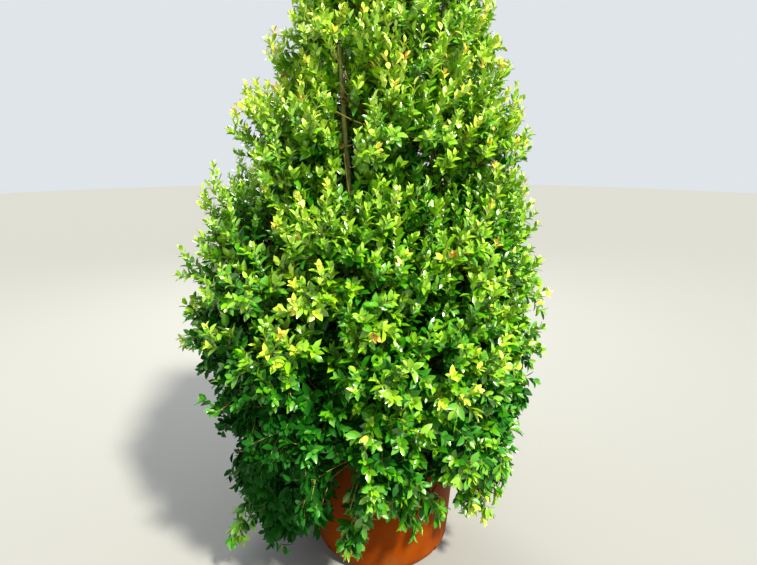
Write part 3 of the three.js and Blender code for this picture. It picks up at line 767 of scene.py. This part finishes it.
def grow_leaves(twigs, rng, shaded=1.0):
    """Leaves in opposite pairs along the last part of each twig."""
    smaller = part_way(twigs.paths(2)[:, 1, 2], 0, LEAF.small_from) ** 2
    full = lerp(*LEAF.lengths, smaller)
    spacing = full * LEAF.spacing
    index, step = spaced(np.minimum(twigs.lengths * LEAF.most, LEAF.along), spacing)
    bearers = twigs.kept(index)
    from_tip = np.where(step < 2, step * LEAF.second, step - 0.5) * spacing[index]
    roots, tangents, sides = bearers.pairs_at(from_tip, step)
    age = part_way(step, 0, LEAF.full_step)
    largest = full[index] * np.where(depth_in_crown(roots) > DEEP.depth, DEEP.larger, 1)
    grown = lerp(LEAF.young, 1, np.clip(age * 2, 0, 1))
    upward = UP * lift_at(roots[:, 2])[:, None]
    shades = shaded * shade(roots)
    forward, up = LEAF.facing
    aim_stray, face_stray = LEAF.stray
    count = len(index)

    def on_side(way):
        spread = (lerp(*LEAF.open, age) * rng.uniform(*VARIED.leaf_spread, count))[:, None]
        directions = unit(tangents + sides * way * spread + upward + rng.normal(0, aim_stray, (count, 3)))
        facing = tangents * forward + UP * up + rng.normal(0, face_stray, (count, 3))
        return Batch(
            roots=roots,
            directions=directions,
            normals=unit(facing - directions * np.einsum("nk,nk->n", facing, directions)[:, None]),
            sizes=largest * grown * rng.uniform(*VARIED.leaf_size, count),
            folds=LEAF.fold * rng.uniform(*VARIED.leaf_fold, count),
            curls=LEAF.curl * rng.uniform(*VARIED.leaf_curl, count),
            colours=leaf_colours(bearers.tones, step, roots, shades, rng),
        )

    return Batch.joined([on_side(1), on_side(-1)])


def shade(points):
    """How much of the shade low in the crown each point lies in, from 0 to 1."""
    left = part_way(points[:, 0], SHADE.left_of, SHADE.full_left_of)
    return part_way(points[:, 2], SHADE.below, SHADE.full_below) * lerp(SHADE.right, 1, left)


def leaf_colours(tones, step, roots, shades, rng):
    """Which leaf colour each has: lighter at a twig's tip and by spray, painted lighter higher up and
    further out, and painted darker in the shade low in the crown.
    """
    # Painted light higher up and further out, and painted shade deeper inside the crown.
    height = part_way(roots[:, 2], LIT.foot, LIT.top)
    depth = part_way(depth_in_crown(roots), 0, LIT.depth)
    light = LIGHT.least + LIGHT.tone * tones + LIGHT.height * height
    light -= LIGHT.step * np.clip(step, 0, LEAF.full_step) + lerp(*LIGHT.depth, height) * depth
    light += rng.normal(0, LIGHT.stray, len(tones)) - SHADE.darker * shades
    colours = np.clip(np.round(light), 0, len(GREENS) - 1).astype(int)
    at_tip = (step < 2) & (tones > lerp(*YOUNG_FROM.tone, height))
    young = at_tip & (depth < YOUNG_FROM.depth) & (shades < YOUNG_FROM.shade)
    sprays = (tones * SPRAYS).astype(int) % len(YOUNG_DEAL)
    warm = np.where(roots[:, 2] > WARM_FROM, np.array(YOUNG_DEAL)[sprays], 0)
    colours[young] = len(GREENS) + warm[young]
    return colours


# Meshes


def mesh_object(name, parts, materials):
    """An object of one mesh. A part is its vertices, and then pairs of faces and their materials' numbers.

    The faces of one pair have like numbers of corners.
    """
    vertices = np.concatenate([more for more, *_ in parts])
    firsts = np.cumsum([0, *(len(more) for more, *_ in parts)])
    groups = [(faces + first, worn) for (_, *some), first in zip(parts, firsts) for faces, worn in some]
    mesh = bpy.data.meshes.new(name)
    mesh.vertices.add(len(vertices))
    mesh.vertices.foreach_set("co", vertices.astype(np.float32).ravel())
    corners = np.concatenate([faces.ravel() for faces, _ in groups])
    mesh.loops.add(len(corners))
    mesh.loops.foreach_set("vertex_index", corners.astype(np.int32))
    sizes = np.concatenate([np.full(len(faces), faces.shape[1]) for faces, _ in groups])
    mesh.polygons.add(len(sizes))
    mesh.polygons.foreach_set("loop_start", (np.cumsum(sizes) - sizes).astype(np.int32))
    worn = np.concatenate([np.broadcast_to(index, len(faces)) for faces, index in groups])
    mesh.polygons.foreach_set("material_index", worn.astype(np.int32))
    mesh.polygons.foreach_set("use_smooth", np.ones(len(sizes), bool))
    mesh.update(calc_edges=True)
    mesh.validate()
    for material in materials:
        mesh.materials.append(material)
    piece = bpy.data.objects.new(name, mesh)
    bpy.context.scene.collection.objects.link(piece)
    return piece


def tubes(paths, radii, sides, worn=0):
    """A part of many tubes, each with the same number of stations."""
    count, stations, _ = paths.shape
    tangents = unit(np.gradient(paths, axis=1))
    references = sideways(unit(paths[:, -1] - paths[:, 0]))[:, None, :]
    across = unit(np.cross(tangents, references))
    second = np.cross(across, tangents)
    angles = (np.arange(sides) * 2 * pi / sides)[:, None]
    ring = across[:, :, None, :] * np.cos(angles) + second[:, :, None, :] * np.sin(angles)
    vertices = paths[:, :, None, :] + ring * np.broadcast_to(radii, (count, stations))[..., None, None]
    numbers = np.arange(count * stations * sides).reshape(count, stations, sides)
    after = np.roll(numbers, -1, axis=2)
    quads = np.stack([numbers[:, :-1], after[:, :-1], after[:, 1:], numbers[:, 1:]], axis=-1)
    ends = np.concatenate([numbers[:, 0, ::-1], numbers[:, -1]])
    return vertices.reshape(-1, 3), (quads.reshape(-1, 4), worn), (ends, worn)


def leaf_part(leaves, rows_across):
    """A part of many leaves: a blade folded along its midrib, with its tip curled."""
    marks = [(share, width * way) for share, width in rows_across for way in (-1, 0, 1)]
    marks = np.array([(0, 0), *marks, (1, 0)])
    length = leaves.sizes[:, None]
    along = length * marks[:, 0]
    aside = length * LEAF.slimness / 2 * marks[:, 1]
    lift = np.abs(aside) * leaves.folds[:, None] - along**2 / length * leaves.curls[:, None]
    across = np.cross(leaves.directions, leaves.normals)
    vertices = (
        leaves.roots[:, None, :]
        + leaves.directions[:, None, :] * along[..., None]
        + across[:, None, :] * aside[..., None]
        + leaves.normals[:, None, :] * lift[..., None]
    )
    last = len(marks) - 1
    triangles = [(0, 2, 1), (0, 3, 2), (last - 3, last - 2, last), (last - 2, last - 1, last)]
    quads = []
    for a in range(1, last - 3, 3):
        quads += [(a, a + 1, a + 4, a + 3), (a + 1, a + 2, a + 5, a + 4)]
    groups = []
    offsets = (np.arange(len(length)) * len(marks))[:, None, None]
    for faces in (triangles, quads):
        numbers = (np.array(faces) + offsets).reshape(-1, len(faces[0]))
        groups.append((numbers, np.repeat(leaves.colours, len(faces))))
    return vertices.reshape(-1, 3), *groups


# Materials


def linear(colour):
    """A colour on the screen's scale as amounts of light."""
    return tuple(c / 12.92 if c <= 0.04045 else ((c + 0.055) / 1.055) ** 2.4 for c in colour) + (1,)


class Shader:
    """A new material's node tree. What feeds an input is a plain value or another node's output."""

    def __init__(self, name):
        self.material = bpy.data.materials.new(name)
        self.material.use_nodes = True
        self.tree = self.material.node_tree

    def feed(self, node, inputs):
        for name, source in inputs.items():
            if isinstance(source, bpy.types.NodeSocket):
                self.tree.links.new(source, node.inputs[name])
            else:
                node.inputs[name].default_value = source

    def finish(self, inputs):
        """The material, once its surface has its inputs."""
        self.feed(self.tree.nodes["Principled BSDF"], inputs)
        return self.material

    def add(self, kind, inputs, **settings):
        node = self.tree.nodes.new(kind)
        for name, value in settings.items():
            setattr(node, name, value)
        self.feed(node, inputs)
        return node

    def place(self):
        return self.add("ShaderNodeTexCoord", {}).outputs["Object"]

    def noise(self, scale, detail=4, stretch=(1, 1, 1), roughness=0.6):
        mapping = self.add("ShaderNodeMapping", {"Vector": self.place(), "Scale": stretch})
        inputs = {"Scale": scale, "Detail": detail, "Roughness": roughness}
        inputs["Vector"] = mapping.outputs["Vector"]
        return self.add("ShaderNodeTexNoise", inputs).outputs["Fac"]

    def ramp(self, value, *stops):
        """Colours or numbers dealt out over a value from 0 to 1."""
        node = self.add("ShaderNodeValToRGB", {"Fac": value})
        elements = node.color_ramp.elements
        while len(elements) < len(stops):
            elements.new(0.5)
        for element, (place, colour) in zip(elements, stops):
            element.position = place
            element.color = linear(colour) if isinstance(colour, tuple) else (colour, colour, colour, 1)
        return node.outputs["Color"]

    def mix(self, share, first, second):
        inputs = {"Factor": share, 6: first, 7: second}
        return self.add("ShaderNodeMix", inputs, data_type="RGBA").outputs[2]

    def bump(self, height, strength, distance):
        inputs = {"Strength": strength, "Distance": distance, "Height": height}
        return self.add("ShaderNodeBump", inputs).outputs["Normal"]


def leafy_material(name, colour, roughness, coat=0.0, specular=0.5):
    """One plain colour, with an uneven sheen and small dents."""
    shader = Shader(name)
    grain = shader.noise(170, 3)
    return shader.finish({
        "Base Color": linear(colour),
        "Roughness": shader.ramp(grain, (0.3, roughness - 0.08), (0.7, roughness + 0.12)),
        "Normal": shader.bump(grain, 0.35, 0.0006),
        "Coat Weight": coat,
        "Coat Roughness": 0.22,
        "Coat IOR": 1.75,
        "Specular IOR Level": specular,
    })


# Leaves from the oldest, darkest green to the freshest, each with its roughness, coat and specular level.
# The same greens also carry painted shade and painted light: the dark ones go to leaves deep or low in the
# crown, with little coat and specular so they have no sheen in the shade, and the light ones go to leaves
# high up.
GREENS = [
    ("leaf_deep_green", (0.06, 0.32, 0.02), 0.55, 0.0, 0.15),
    ("leaf_dark_green", (0.17, 0.49, 0.02), 0.42, 0.15, 0.35),
    ("leaf_mid_green", (0.33, 0.61, 0.03), 0.36, 0.5, 0.5),
    ("leaf_fresh_green", (0.5, 0.72, 0.05), 0.36, 0.7, 0.5),
    ("leaf_light_green", (0.63, 0.82, 0.14), 0.36, 0.85, 0.5),
    ("leaf_lime_green", (0.79, 0.89, 0.33), 0.36, 0.9, 0.5),
]
YOUNG = [
    ("leaf_young_lime", (0.8, 0.91, 0.26), 0.42, 0.3, 0.5),
    ("leaf_young_yellow", (0.86, 0.9, 0.28), 0.42, 0.3, 0.5),
    ("leaf_young_gold", (0.92, 0.86, 0.3), 0.42, 0.3, 0.5),
    ("leaf_young_orange", (0.93, 0.76, 0.3), 0.42, 0.3, 0.5),
]
# The masses' stems, their shoots, and side twigs of two kinds, each with its roughness.
TWIG_COLOURS = [
    ("twig_brown", (0.42, 0.32, 0.17), 0.6),
    ("twig_olive", (0.52, 0.46, 0.18), 0.55),
    ("twig_young_green", (0.62, 0.61, 0.24), 0.5),
    ("twig_young_yellow", (0.8, 0.64, 0.28), 0.5),
]


def bark_material(name, crack, wood_dark, wood_light):
    """Bark with fine upright fissures, and greener patches."""
    shader = Shader(name)
    fissures = shader.noise(120, 6, (1, 1, 0.22), 0.65)
    patches = shader.noise(14, 3)
    wood = shader.ramp(fissures, (0.3, crack), (0.52, wood_dark), (0.75, wood_light))
    moss = shader.ramp(fissures, (0.3, (0.18, 0.18, 0.08)), (0.75, (0.46, 0.46, 0.26)))
    return shader.finish({
        "Base Color": shader.mix(shader.ramp(patches, (0.5, 0.0), (0.68, 0.4)), wood, moss),
        "Roughness": shader.ramp(fissures, (0.2, 0.95), (0.8, 0.7)),
        "Normal": shader.bump(fissures, 0.7, 0.002),
    })


def pot_material():
    """Terracotta-orange moulded plastic: matte, a little faded, dusty near the ground, with fine scuffs."""
    shader = Shader("pot_terracotta_plastic")
    clouds = shader.noise(5, 4)
    specks = shader.noise(260, 2)
    scuffs = shader.noise(34, 5, (1, 1, 6), 0.7)
    shades = (0.3, (0.45, 0.18, 0.0)), (0.55, (0.52, 0.22, 0.0)), (0.8, (0.58, 0.27, 0.02))
    scuffed = shader.ramp(scuffs, (0.66, 0.0), (0.76, 0.4))
    scraped = shader.mix(scuffed, shader.ramp(clouds, *shades), linear((0.68, 0.36, 0.06)))
    height = shader.add("ShaderNodeSeparateXYZ", {"Vector": shader.place()}).outputs["Z"]
    dusty_to = {"Value": height, "From Max": 0.16, "To Min": 1.0, "To Max": 0.0}
    low = shader.add("ShaderNodeMapRange", dusty_to).outputs["Result"]
    drifts = shader.ramp(shader.noise(18, 6), (0.46, 0.0), (0.72, 0.45))
    dusting = shader.add("ShaderNodeMath", {0: low, 1: drifts}, operation="MULTIPLY").outputs["Value"]
    dust = shader.ramp(specks, (0.3, (0.46, 0.32, 0.16)), (0.7, (0.58, 0.42, 0.24)))
    return shader.finish({
        "Base Color": shader.mix(dusting, scraped, dust),
        "Roughness": shader.ramp(clouds, (0.3, 0.45), (0.75, 0.62)),
        "Specular IOR Level": 0.04,
        "Normal": shader.bump(specks, 0.12, 0.0008),
    })


def grainy_material(name, grain_size, detail, grain_roughness, stops, roughness, bump):
    """Crumbly or splintery matter, with colours dealt out over its grain."""
    shader = Shader(name)
    grain = shader.noise(grain_size, detail, roughness=grain_roughness)
    inputs = {"Base Color": shader.ramp(grain, *stops), "Roughness": roughness}
    return shader.finish({**inputs, "Normal": shader.bump(grain, *bump)})


def soil_material():
    stops = (0.3, (0.06, 0.04, 0.025)), (0.55, (0.16, 0.1, 0.06)), (0.8, (0.3, 0.21, 0.13))
    return grainy_material("soil_potting_mix", 180, 8, 0.75, stops, 0.95, (0.9, 0.003))


def chip_material(name, light, dark):
    return grainy_material(name, 240, 5, 0.6, ((0.3, dark), (0.7, light)), 0.9, (0.5, 0.001))


# The plant's pieces


def finished(piece, slot, *nodes):
    """A piece on the plant's one body, which hides the nodes that it stands for.

    Its slot, the finish that it takes, is not used.
    """
    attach(piece, "root")
    if nodes:
        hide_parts(*nodes)
    return piece


def bark_lift(outward, heights, relief):
    """How far bark stands out where a limb faces in a direction: fissures that run along it, and knots."""
    lift = []
    for (x, y, _), z in zip(outward, heights):
        across, along = FISSURES
        grain = noise.fractal(Vector((x * across, y * across, z * along)), 1.0, 2.0, 4)
        across, along = KNOTS.fine
        knot = noise.noise(Vector((x * across, y * across, z * along + KNOTS.apart)))
        lift.append(relief * (grain + max(knot - KNOTS.least, 0) * KNOTS.height))
    return np.array(lift)


def limb_part(limb, sides, stations, relief, cut=None):
    """A limb as one tube with its bark's relief, and for the trunk the lobes of its root flare."""
    shares = np.linspace(0, 1, stations) ** BARK.crowded
    path = limb.curve.points(shares)
    vertices, *faces = tubes(path[None], np.array([limb.radius_at(t) for t in shares]), sides)
    middles = np.repeat(path, sides, axis=0)
    outward = vertices - middles
    girth = np.linalg.norm(outward, axis=1, keepdims=True)
    outward = outward / girth
    heights = vertices[:, 2]
    lift = bark_lift(outward, heights, relief)
    if limb.name == "trunk":
        angles = np.arctan2(outward[:, 1], outward[:, 0])
        flare = 1 - part_way(heights - SOIL.top, 0, TRUNK.flare_height)
        lift += girth[:, 0] * flare * TRUNK.flare_depth * (np.cos(TRUNK.flare_lobes * angles) - 1)
    reach = girth + lift[:, None] * np.minimum(girth / BARK.full_girth, 1)
    vertices = middles + outward * np.maximum(reach, girth * BARK.least_girth)
    if cut is not None:
        vertices[:, 2] = np.maximum(vertices[:, 2], cut)
    return vertices, *faces


def add_limbs(name, limbs, sides, stations, relief, material, cut=None):
    parts = [limb_part(limb, sides, stations, relief, cut) for limb in limbs]
    finished(mesh_object(name, parts, [material]), "bark", *(limb.name for limb in limbs))


def grow_mass(mass, limbs):
    """A mass's own stem, its shoots, its side twigs and its leaves."""
    rng = np.random.default_rng(mass.seed + SHOOT.seed)
    stem = bent_curve(mass.start, mass.centre, mass.start_direction, mass.axis)

    def free(points):
        within = in_crown(points, hollow(points) - TWIG.proud, foot_margin=-TWIG.proud)
        return within & way_is_free(points, mass, limbs) & ~in_parting(points)

    shoots = grow_shoots(mass, stem, limbs, rng)
    sprigs = grow_sprigs(mass, stem)
    height = mass.centre[2] / RINGS[-1].height
    spacing = lerp(*SHOOT.pair_spacing, height)
    twigs = grow_side_twigs(shoots, spacing, lerp(*TWIG.lengths, height), rng).where_all(free)
    short = grow_side_twigs(sprigs, SPRIG.side_spacing, SPRIG.side_length, rng)
    short = short.where_all(lambda points: clear_of_pot(points, CLEAR.sprig))
    leaves = grow_leaves(Twigs.joined([shoots, twigs]), rng)
    tips = leaf_tips(leaves)
    inside = where_leaves_reach(tips) & (depth_in_crown(tips) < LEAF.deepest)
    parted = in_parting(tips, LEAF.parting) | in_parting(leaves.roots)
    leaves = leaves.kept(inside & clear_of_pot(tips, CLEAR.leaf) & ~parted)
    hanging = grow_leaves(Twigs.joined([sprigs, short]), rng, SHADE.on_sprigs)
    hanging = hanging.kept(clear_of_pot(leaf_tips(hanging), CLEAR.leaf))
    shoots = Twigs.joined([shoots.cut_back(where_leaves_reach), sprigs])
    return stem, shoots, Twigs.joined([twigs, short]), Batch.joined([leaves, hanging])


def add_foliage(label, masses, limbs, leaf_materials, twig_materials):
    """Some masses of foliage: a piece of leaves and a piece of twigs."""
    parts, batches = [], []
    stations, sides = MASS_STEM.tube
    for mass in masses:
        stem, shoots, twigs, leaves = grow_mass(mass, limbs)
        radii = np.linspace(mass.start_radius, MASS_STEM.tip_radius, stations)
        parts.append(tubes(stem.points(np.linspace(0, 1, stations))[None], radii, sides))
        parts += twig_parts(shoots, twigs)
        batches.append(leaves)
    finished(mesh_object("twigs_" + label, parts, twig_materials), "bark")
    nodes = ("foliage_" + mass.label for mass in masses)
    add_leaves("leaves_" + label, Batch.joined(batches), leaf_materials, *nodes)


def twig_parts(shoots, twigs):
    """Parts for shoots and for the side twigs on them, each with its material's number."""
    yellow = twigs.tones > TWIG.yellow_from
    kinds = (shoots, SHOOT, 1), (twigs.kept(yellow), TWIG, 3), (twigs.kept(~yellow), TWIG, 2)
    parts = []
    for some, size, worn in kinds:
        stations, sides = size.tube
        radii = np.linspace(size.radius, size.tip_radius, stations)
        parts.append(tubes(some.paths(stations), radii, sides, worn))
    return parts


def add_leaves(name, leaves, materials, *nodes):
    deep = depth_in_crown(leaves.roots) > DEEP.depth
    parts = [leaf_part(leaves.kept(~deep), LEAF_ROWS), leaf_part(leaves.kept(deep), DEEP.rows)]
    finished(mesh_object(name, parts, materials), "foliage", *nodes)


def add_heart(limbs, leaf_materials, twig_materials):
    """The leafy twigs inside the crown, which no mass holds."""
    rng = np.random.default_rng(INNER.seed)
    shoots = grow_inner_twigs(limbs, rng)
    shoots = shoots.where_all(lambda points: in_crown(points, INNER.depth) & ~in_parting(points))
    twigs = grow_side_twigs(shoots, INNER.side_spacing, INNER.side_length, rng)
    twigs = twigs.where_all(lambda points: in_crown(points, INNER.side_depth), stations=3)
    finished(mesh_object("twigs_heart", twig_parts(shoots, twigs), twig_materials), "bark")
    leaves = grow_leaves(Twigs.joined([shoots, twigs]), rng)
    add_leaves("leaves_heart", leaves.kept(~in_parting(leaves.roots)), leaf_materials)


# The pot and what fills it


def pot_wall_radius(z):
    return lerp(POT.foot_radius, POT.wall_radius, z / (POT.height - POT.rim_band))


def arc(middle, radius, first, last, steps):
    """Points of an arc in a profile, with angles in degrees from straight out."""
    angles = np.radians(np.linspace(first, last, steps + 1))
    return [(middle[0] + radius * cos(a), middle[1] + radius * sin(a)) for a in angles]


def corner_arc(depth, steps):
    corner = POT.corner_radius
    return arc((pot_wall_radius(corner) - corner, corner), corner - depth, -90, 0, steps)


def straight(start, end, steps):
    """Points between two others, without the first."""
    shares = np.linspace(0, 1, steps + 1)[1:]
    return [(lerp(start[0], end[0], t), lerp(start[1], end[1], t)) for t in shares]


def lathe(profile, segments):
    """A part turned round the z axis from a profile that closes on itself."""
    profile = np.array(profile)
    angles = (np.arange(segments) * 2 * pi / segments)[:, None]
    x = profile[:, 0] * np.cos(angles)
    y = profile[:, 0] * np.sin(angles)
    vertices = np.stack([x, y, np.broadcast_to(profile[:, 1], x.shape)], axis=-1).reshape(-1, 3)
    numbers = np.arange(len(vertices)).reshape(segments, len(profile))
    beside = np.roll(numbers, -1, axis=0)
    corners = [numbers, beside, np.roll(beside, -1, axis=1), np.roll(numbers, -1, axis=1)]
    return vertices, (np.stack(corners, axis=-1).reshape(-1, 4), 0)


def pot_profile():
    """The pot's wall with its moulded rim band, rolled lip and rounded lower edge."""
    height, rim, wall, lip = POT.height, POT.rim_radius, POT.wall, POT.lip
    band_foot = height - POT.rim_band
    flat_end = pot_wall_radius(POT.corner_radius) - RIM.flat
    outside = [(RIM.hub, 0.0), *straight((RIM.hub, 0), (flat_end, 0), 6), *corner_arc(0, 12)]
    outside += straight(outside[-1], (POT.wall_radius, band_foot), 22)
    outside += arc((rim - RIM.corner, band_foot + wall), RIM.corner, -90, 0, 4)
    outside += straight(outside[-1], (rim, height - lip * 2), 4)
    outside += arc((rim + lip / 2, height - lip), lip * RIM.roll, -140, 90, 10)
    outside += straight(outside[-1], (rim - wall, height - RIM.slope), 3)
    inside = [(RIM.hub, wall), *corner_arc(wall, 10), (POT.wall_radius - wall, band_foot)]
    inside += [(rim - wall, band_foot + wall), (rim - wall, height - RIM.slope * 2)]
    return [(min(r, rim + lip), min(max(z, 0), height)) for r, z in outside + inside[::-1]]


def drain_cutter():
    """Arched blocks that cut the drain slots through the rounded lower edge."""
    half = DRAIN.width / 2
    arch = [(-half, -half), (half, -half), *arc((0, DRAIN.height - half), half, 0, 180, 12)]
    inner = pot_wall_radius(POT.corner_radius) - DRAIN.depth
    outer = inner + DRAIN.depth * 1.5
    block = np.array([(way, x, z) for way in (inner, outer) for x, z in arch])
    near = np.arange(len(arch))
    far = near + len(arch)
    sides = np.stack([near, np.roll(near, -1), np.roll(far, -1), far], axis=1)
    parts = []
    for i in range(DRAIN.count):
        angle = radians(-90 + 360 / DRAIN.count * i)
        out, along = (cos(angle), sin(angle), 0), (-sin(angle), cos(angle), 0)
        parts.append((block @ np.array([out, along, UP]), (np.stack([near[::-1], far]), 0), (sides, 0)))
    cutter = mesh_object("drain_cutter", parts, [])
    cutter.data.shade_flat()
    return cutter


def cut_out(piece, cutter):
    """Takes a cutter's shape out of a piece."""
    cut = piece.modifiers.new("cut", "BOOLEAN")
    cut.operation = "DIFFERENCE"
    cut.solver = "EXACT"
    cut.object = cutter
    graph = bpy.context.evaluated_depsgraph_get()
    shaped = bpy.data.meshes.new_from_object(piece.evaluated_get(graph))
    piece.modifiers.clear()
    piece.data = shaped
    bpy.data.objects.remove(cutter)


def add_pot():
    piece = mesh_object("pot_shell", [lathe(pot_profile(), 168)], [pot_material()])
    cut_out(piece, drain_cutter())
    piece.data.set_sharp_from_angle(angle=radians(38))
    finished(piece, "pot", "pot")


def add_soil():
    """Crumbly potting mix, domed a little toward the trunk."""
    hub, edge = (BED.hub, SOIL.top), SOIL.edge
    edge_radius = pot_wall_radius(edge) - POT.wall - GAP
    top = [hub, *straight(hub, (SOIL.flat_radius, SOIL.top), 12)]
    top += straight(top[-1], (edge_radius, edge), 34)
    profile = [*reversed(BED.under), (edge_radius, edge - BED.side), *reversed(top)]
    vertices, quads = lathe(profile, 160)
    for point in vertices:
        if point[2] >= edge - 0.001:
            relief = part_way(hypot(*point[:2]) - TRUNK.foot_radius, 0, BED.calm) * BED.relief
            crumbs = noise.fractal(Vector(point) * BED.crumbs, 1.0, 2.0, 4)
            point[2] += relief * (crumbs - BED.sunk)
    piece = mesh_object("soil_bed", [(vertices, quads)], [soil_material()])
    finished(piece, "potting_mix", "soil")


def rotated(a, b, angles):
    """Two coordinates turned in their plane."""
    angles = angles[:, None]
    return a * np.cos(angles) - b * np.sin(angles), a * np.sin(angles) + b * np.cos(angles)


def add_chips():
    """Small bark chips that lie on the potting mix."""
    rng = np.random.default_rng(CHIPS.seed)
    count = CHIPS.count
    nearest, farthest = CHIPS.ring
    away = np.sqrt(rng.uniform(nearest**2, farthest**2, count))
    around = rng.uniform(0, 2 * pi, count)
    fall = part_way(away, SOIL.flat_radius, CHIPS.slope_end) * (SOIL.top - SOIL.edge)
    heights = SOIL.top - fall + rng.uniform(*CHIPS.lift, count)
    middles = np.stack([away * np.cos(around), away * np.sin(around), heights], axis=1)
    sizes = rng.uniform(*CHIPS.lengths, (count, 1)) * np.array(CHIPS.shape)
    corners = np.array([(x, y, z) for x in (-1, 1) for y in (-1, 1) for z in (-1, 1)], float)
    shapes = corners * sizes[:, None, :] * rng.uniform(CHIPS.least_corner, 1, (count, 8, 3))
    spin = rng.uniform(0, 2 * pi, count)
    x, y, z = np.moveaxis(shapes, -1, 0)
    x, z = rotated(x, z, rng.normal(0, CHIPS.tilt, count))
    x, y = rotated(x, y, spin)
    vertices = np.stack([x, y, z], axis=-1) + middles[:, None, :]
    sides = np.array([(0, 1, 3, 2), (4, 6, 7, 5), (0, 4, 5, 1), (2, 3, 7, 6), (0, 2, 6, 4), (1, 5, 7, 3)])
    quads = (sides + (np.arange(count) * 8)[:, None, None]).reshape(-1, 4)
    worn = np.repeat(rng.integers(0, 2, count), len(sides))
    materials = [
        chip_material("chip_brown", (0.36, 0.24, 0.14), (0.16, 0.1, 0.06)),
        chip_material("chip_grey", (0.42, 0.36, 0.28), (0.2, 0.16, 0.12)),
    ]
    piece = mesh_object("soil_chips", [(vertices.reshape(-1, 3), (quads, worn))], materials)
    finished(piece, "potting_mix")


# Floor, light and camera


def add_floor():
    numbers = np.arange(FLOOR.sides)
    angles = numbers * 2 * pi / FLOOR.sides
    rim = np.stack([np.cos(angles), np.sin(angles), angles * 0], axis=1) * FLOOR.radius
    pale = Shader("floor_pale").finish({"Base Color": linear((0.58, 0.58, 0.57)), "Roughness": 0.9})
    mesh_object("floor", [(rim, (numbers[None, :], 0))], [pale])


def add_object(name, data, place):
    thing = bpy.data.objects.new(name, data)
    bpy.context.scene.collection.objects.link(thing)
    thing.location = place
    return thing


def add_lights():
    for name, (kind, place, strength, colour, width) in LAMPS.items():
        data = bpy.data.lights.new(name, kind)
        if kind == "SUN":
            data.angle = width
        else:
            data.shape = "DISK"
            data.size = width
        data.energy = strength
        data.color = colour
        aim = Vector(LAMPS_AIM) - Vector(place)
        add_object(name, data, place).rotation_euler = aim.to_track_quat("-Z", "Y").to_euler()
    world = bpy.data.worlds.new("studio")
    bpy.context.scene.world = world
    world.use_nodes = True
    background = world.node_tree.nodes["Background"]
    background.inputs["Color"].default_value = linear(SKY.colour)
    background.inputs["Strength"].default_value = SKY.strength
    bpy.context.scene.view_settings.view_transform = "Standard"


def add_camera():
    data = bpy.data.cameras.new("photo_camera")
    data.sensor_width = 36
    data.lens = data.sensor_width * VIEW.focal / VIEW.width
    camera = add_object("photo_camera", data, VIEW.place)
    camera.rotation_euler = (radians(90 - VIEW.down), 0, radians(VIEW.turn))
    bpy.context.scene.camera = camera


# The plant put together

trunk = make_trunk()
stems = [make_stem(name, fork, tip, trunk) for name, (fork, tip) in STEMS.items()]
uprights = [trunk, *stems]
masses = plan_masses()
boughs = [bough for mass in masses if (bough := make_bough(mass, uprights))]
limbs = uprights + boughs

old_bark = bark_material("bark_grey_brown", (0.2, 0.15, 0.09), (0.45, 0.36, 0.23), (0.6, 0.52, 0.38))
# The young bark on the stems and boughs is partly its own olive tan and partly painted light: its colours
# are paler than the bark's own, for the sun on the stems.
young_bark = bark_material("bark_olive", (0.56, 0.54, 0.24), (0.84, 0.82, 0.44), (0.94, 0.93, 0.64))
add_limbs("bark_trunk", [trunk], 44, 150, 0.0016, old_bark, cut=SOIL.top + GAP)
add_limbs("bark_stems", stems, 20, 110, 0.0009, young_bark)
add_limbs("bark_boughs", boughs, 12, 40, 0.0007, young_bark)
leaf_materials = [leafy_material(*row) for row in GREENS + YOUNG]
twig_materials = [leafy_material(*row) for row in TWIG_COLOURS]
for ring in RINGS:
    members = [mass for mass in masses if mass.ring is ring]
    for label, some in (("_a", members[:3]), ("_b", members[3:])):
        if some:
            add_foliage(ring.name + label, some, limbs, leaf_materials, twig_materials)
add_heart(limbs, leaf_materials, twig_materials)
add_pot()
add_soil()
add_chips()
add_floor()
add_lights()
add_camera()
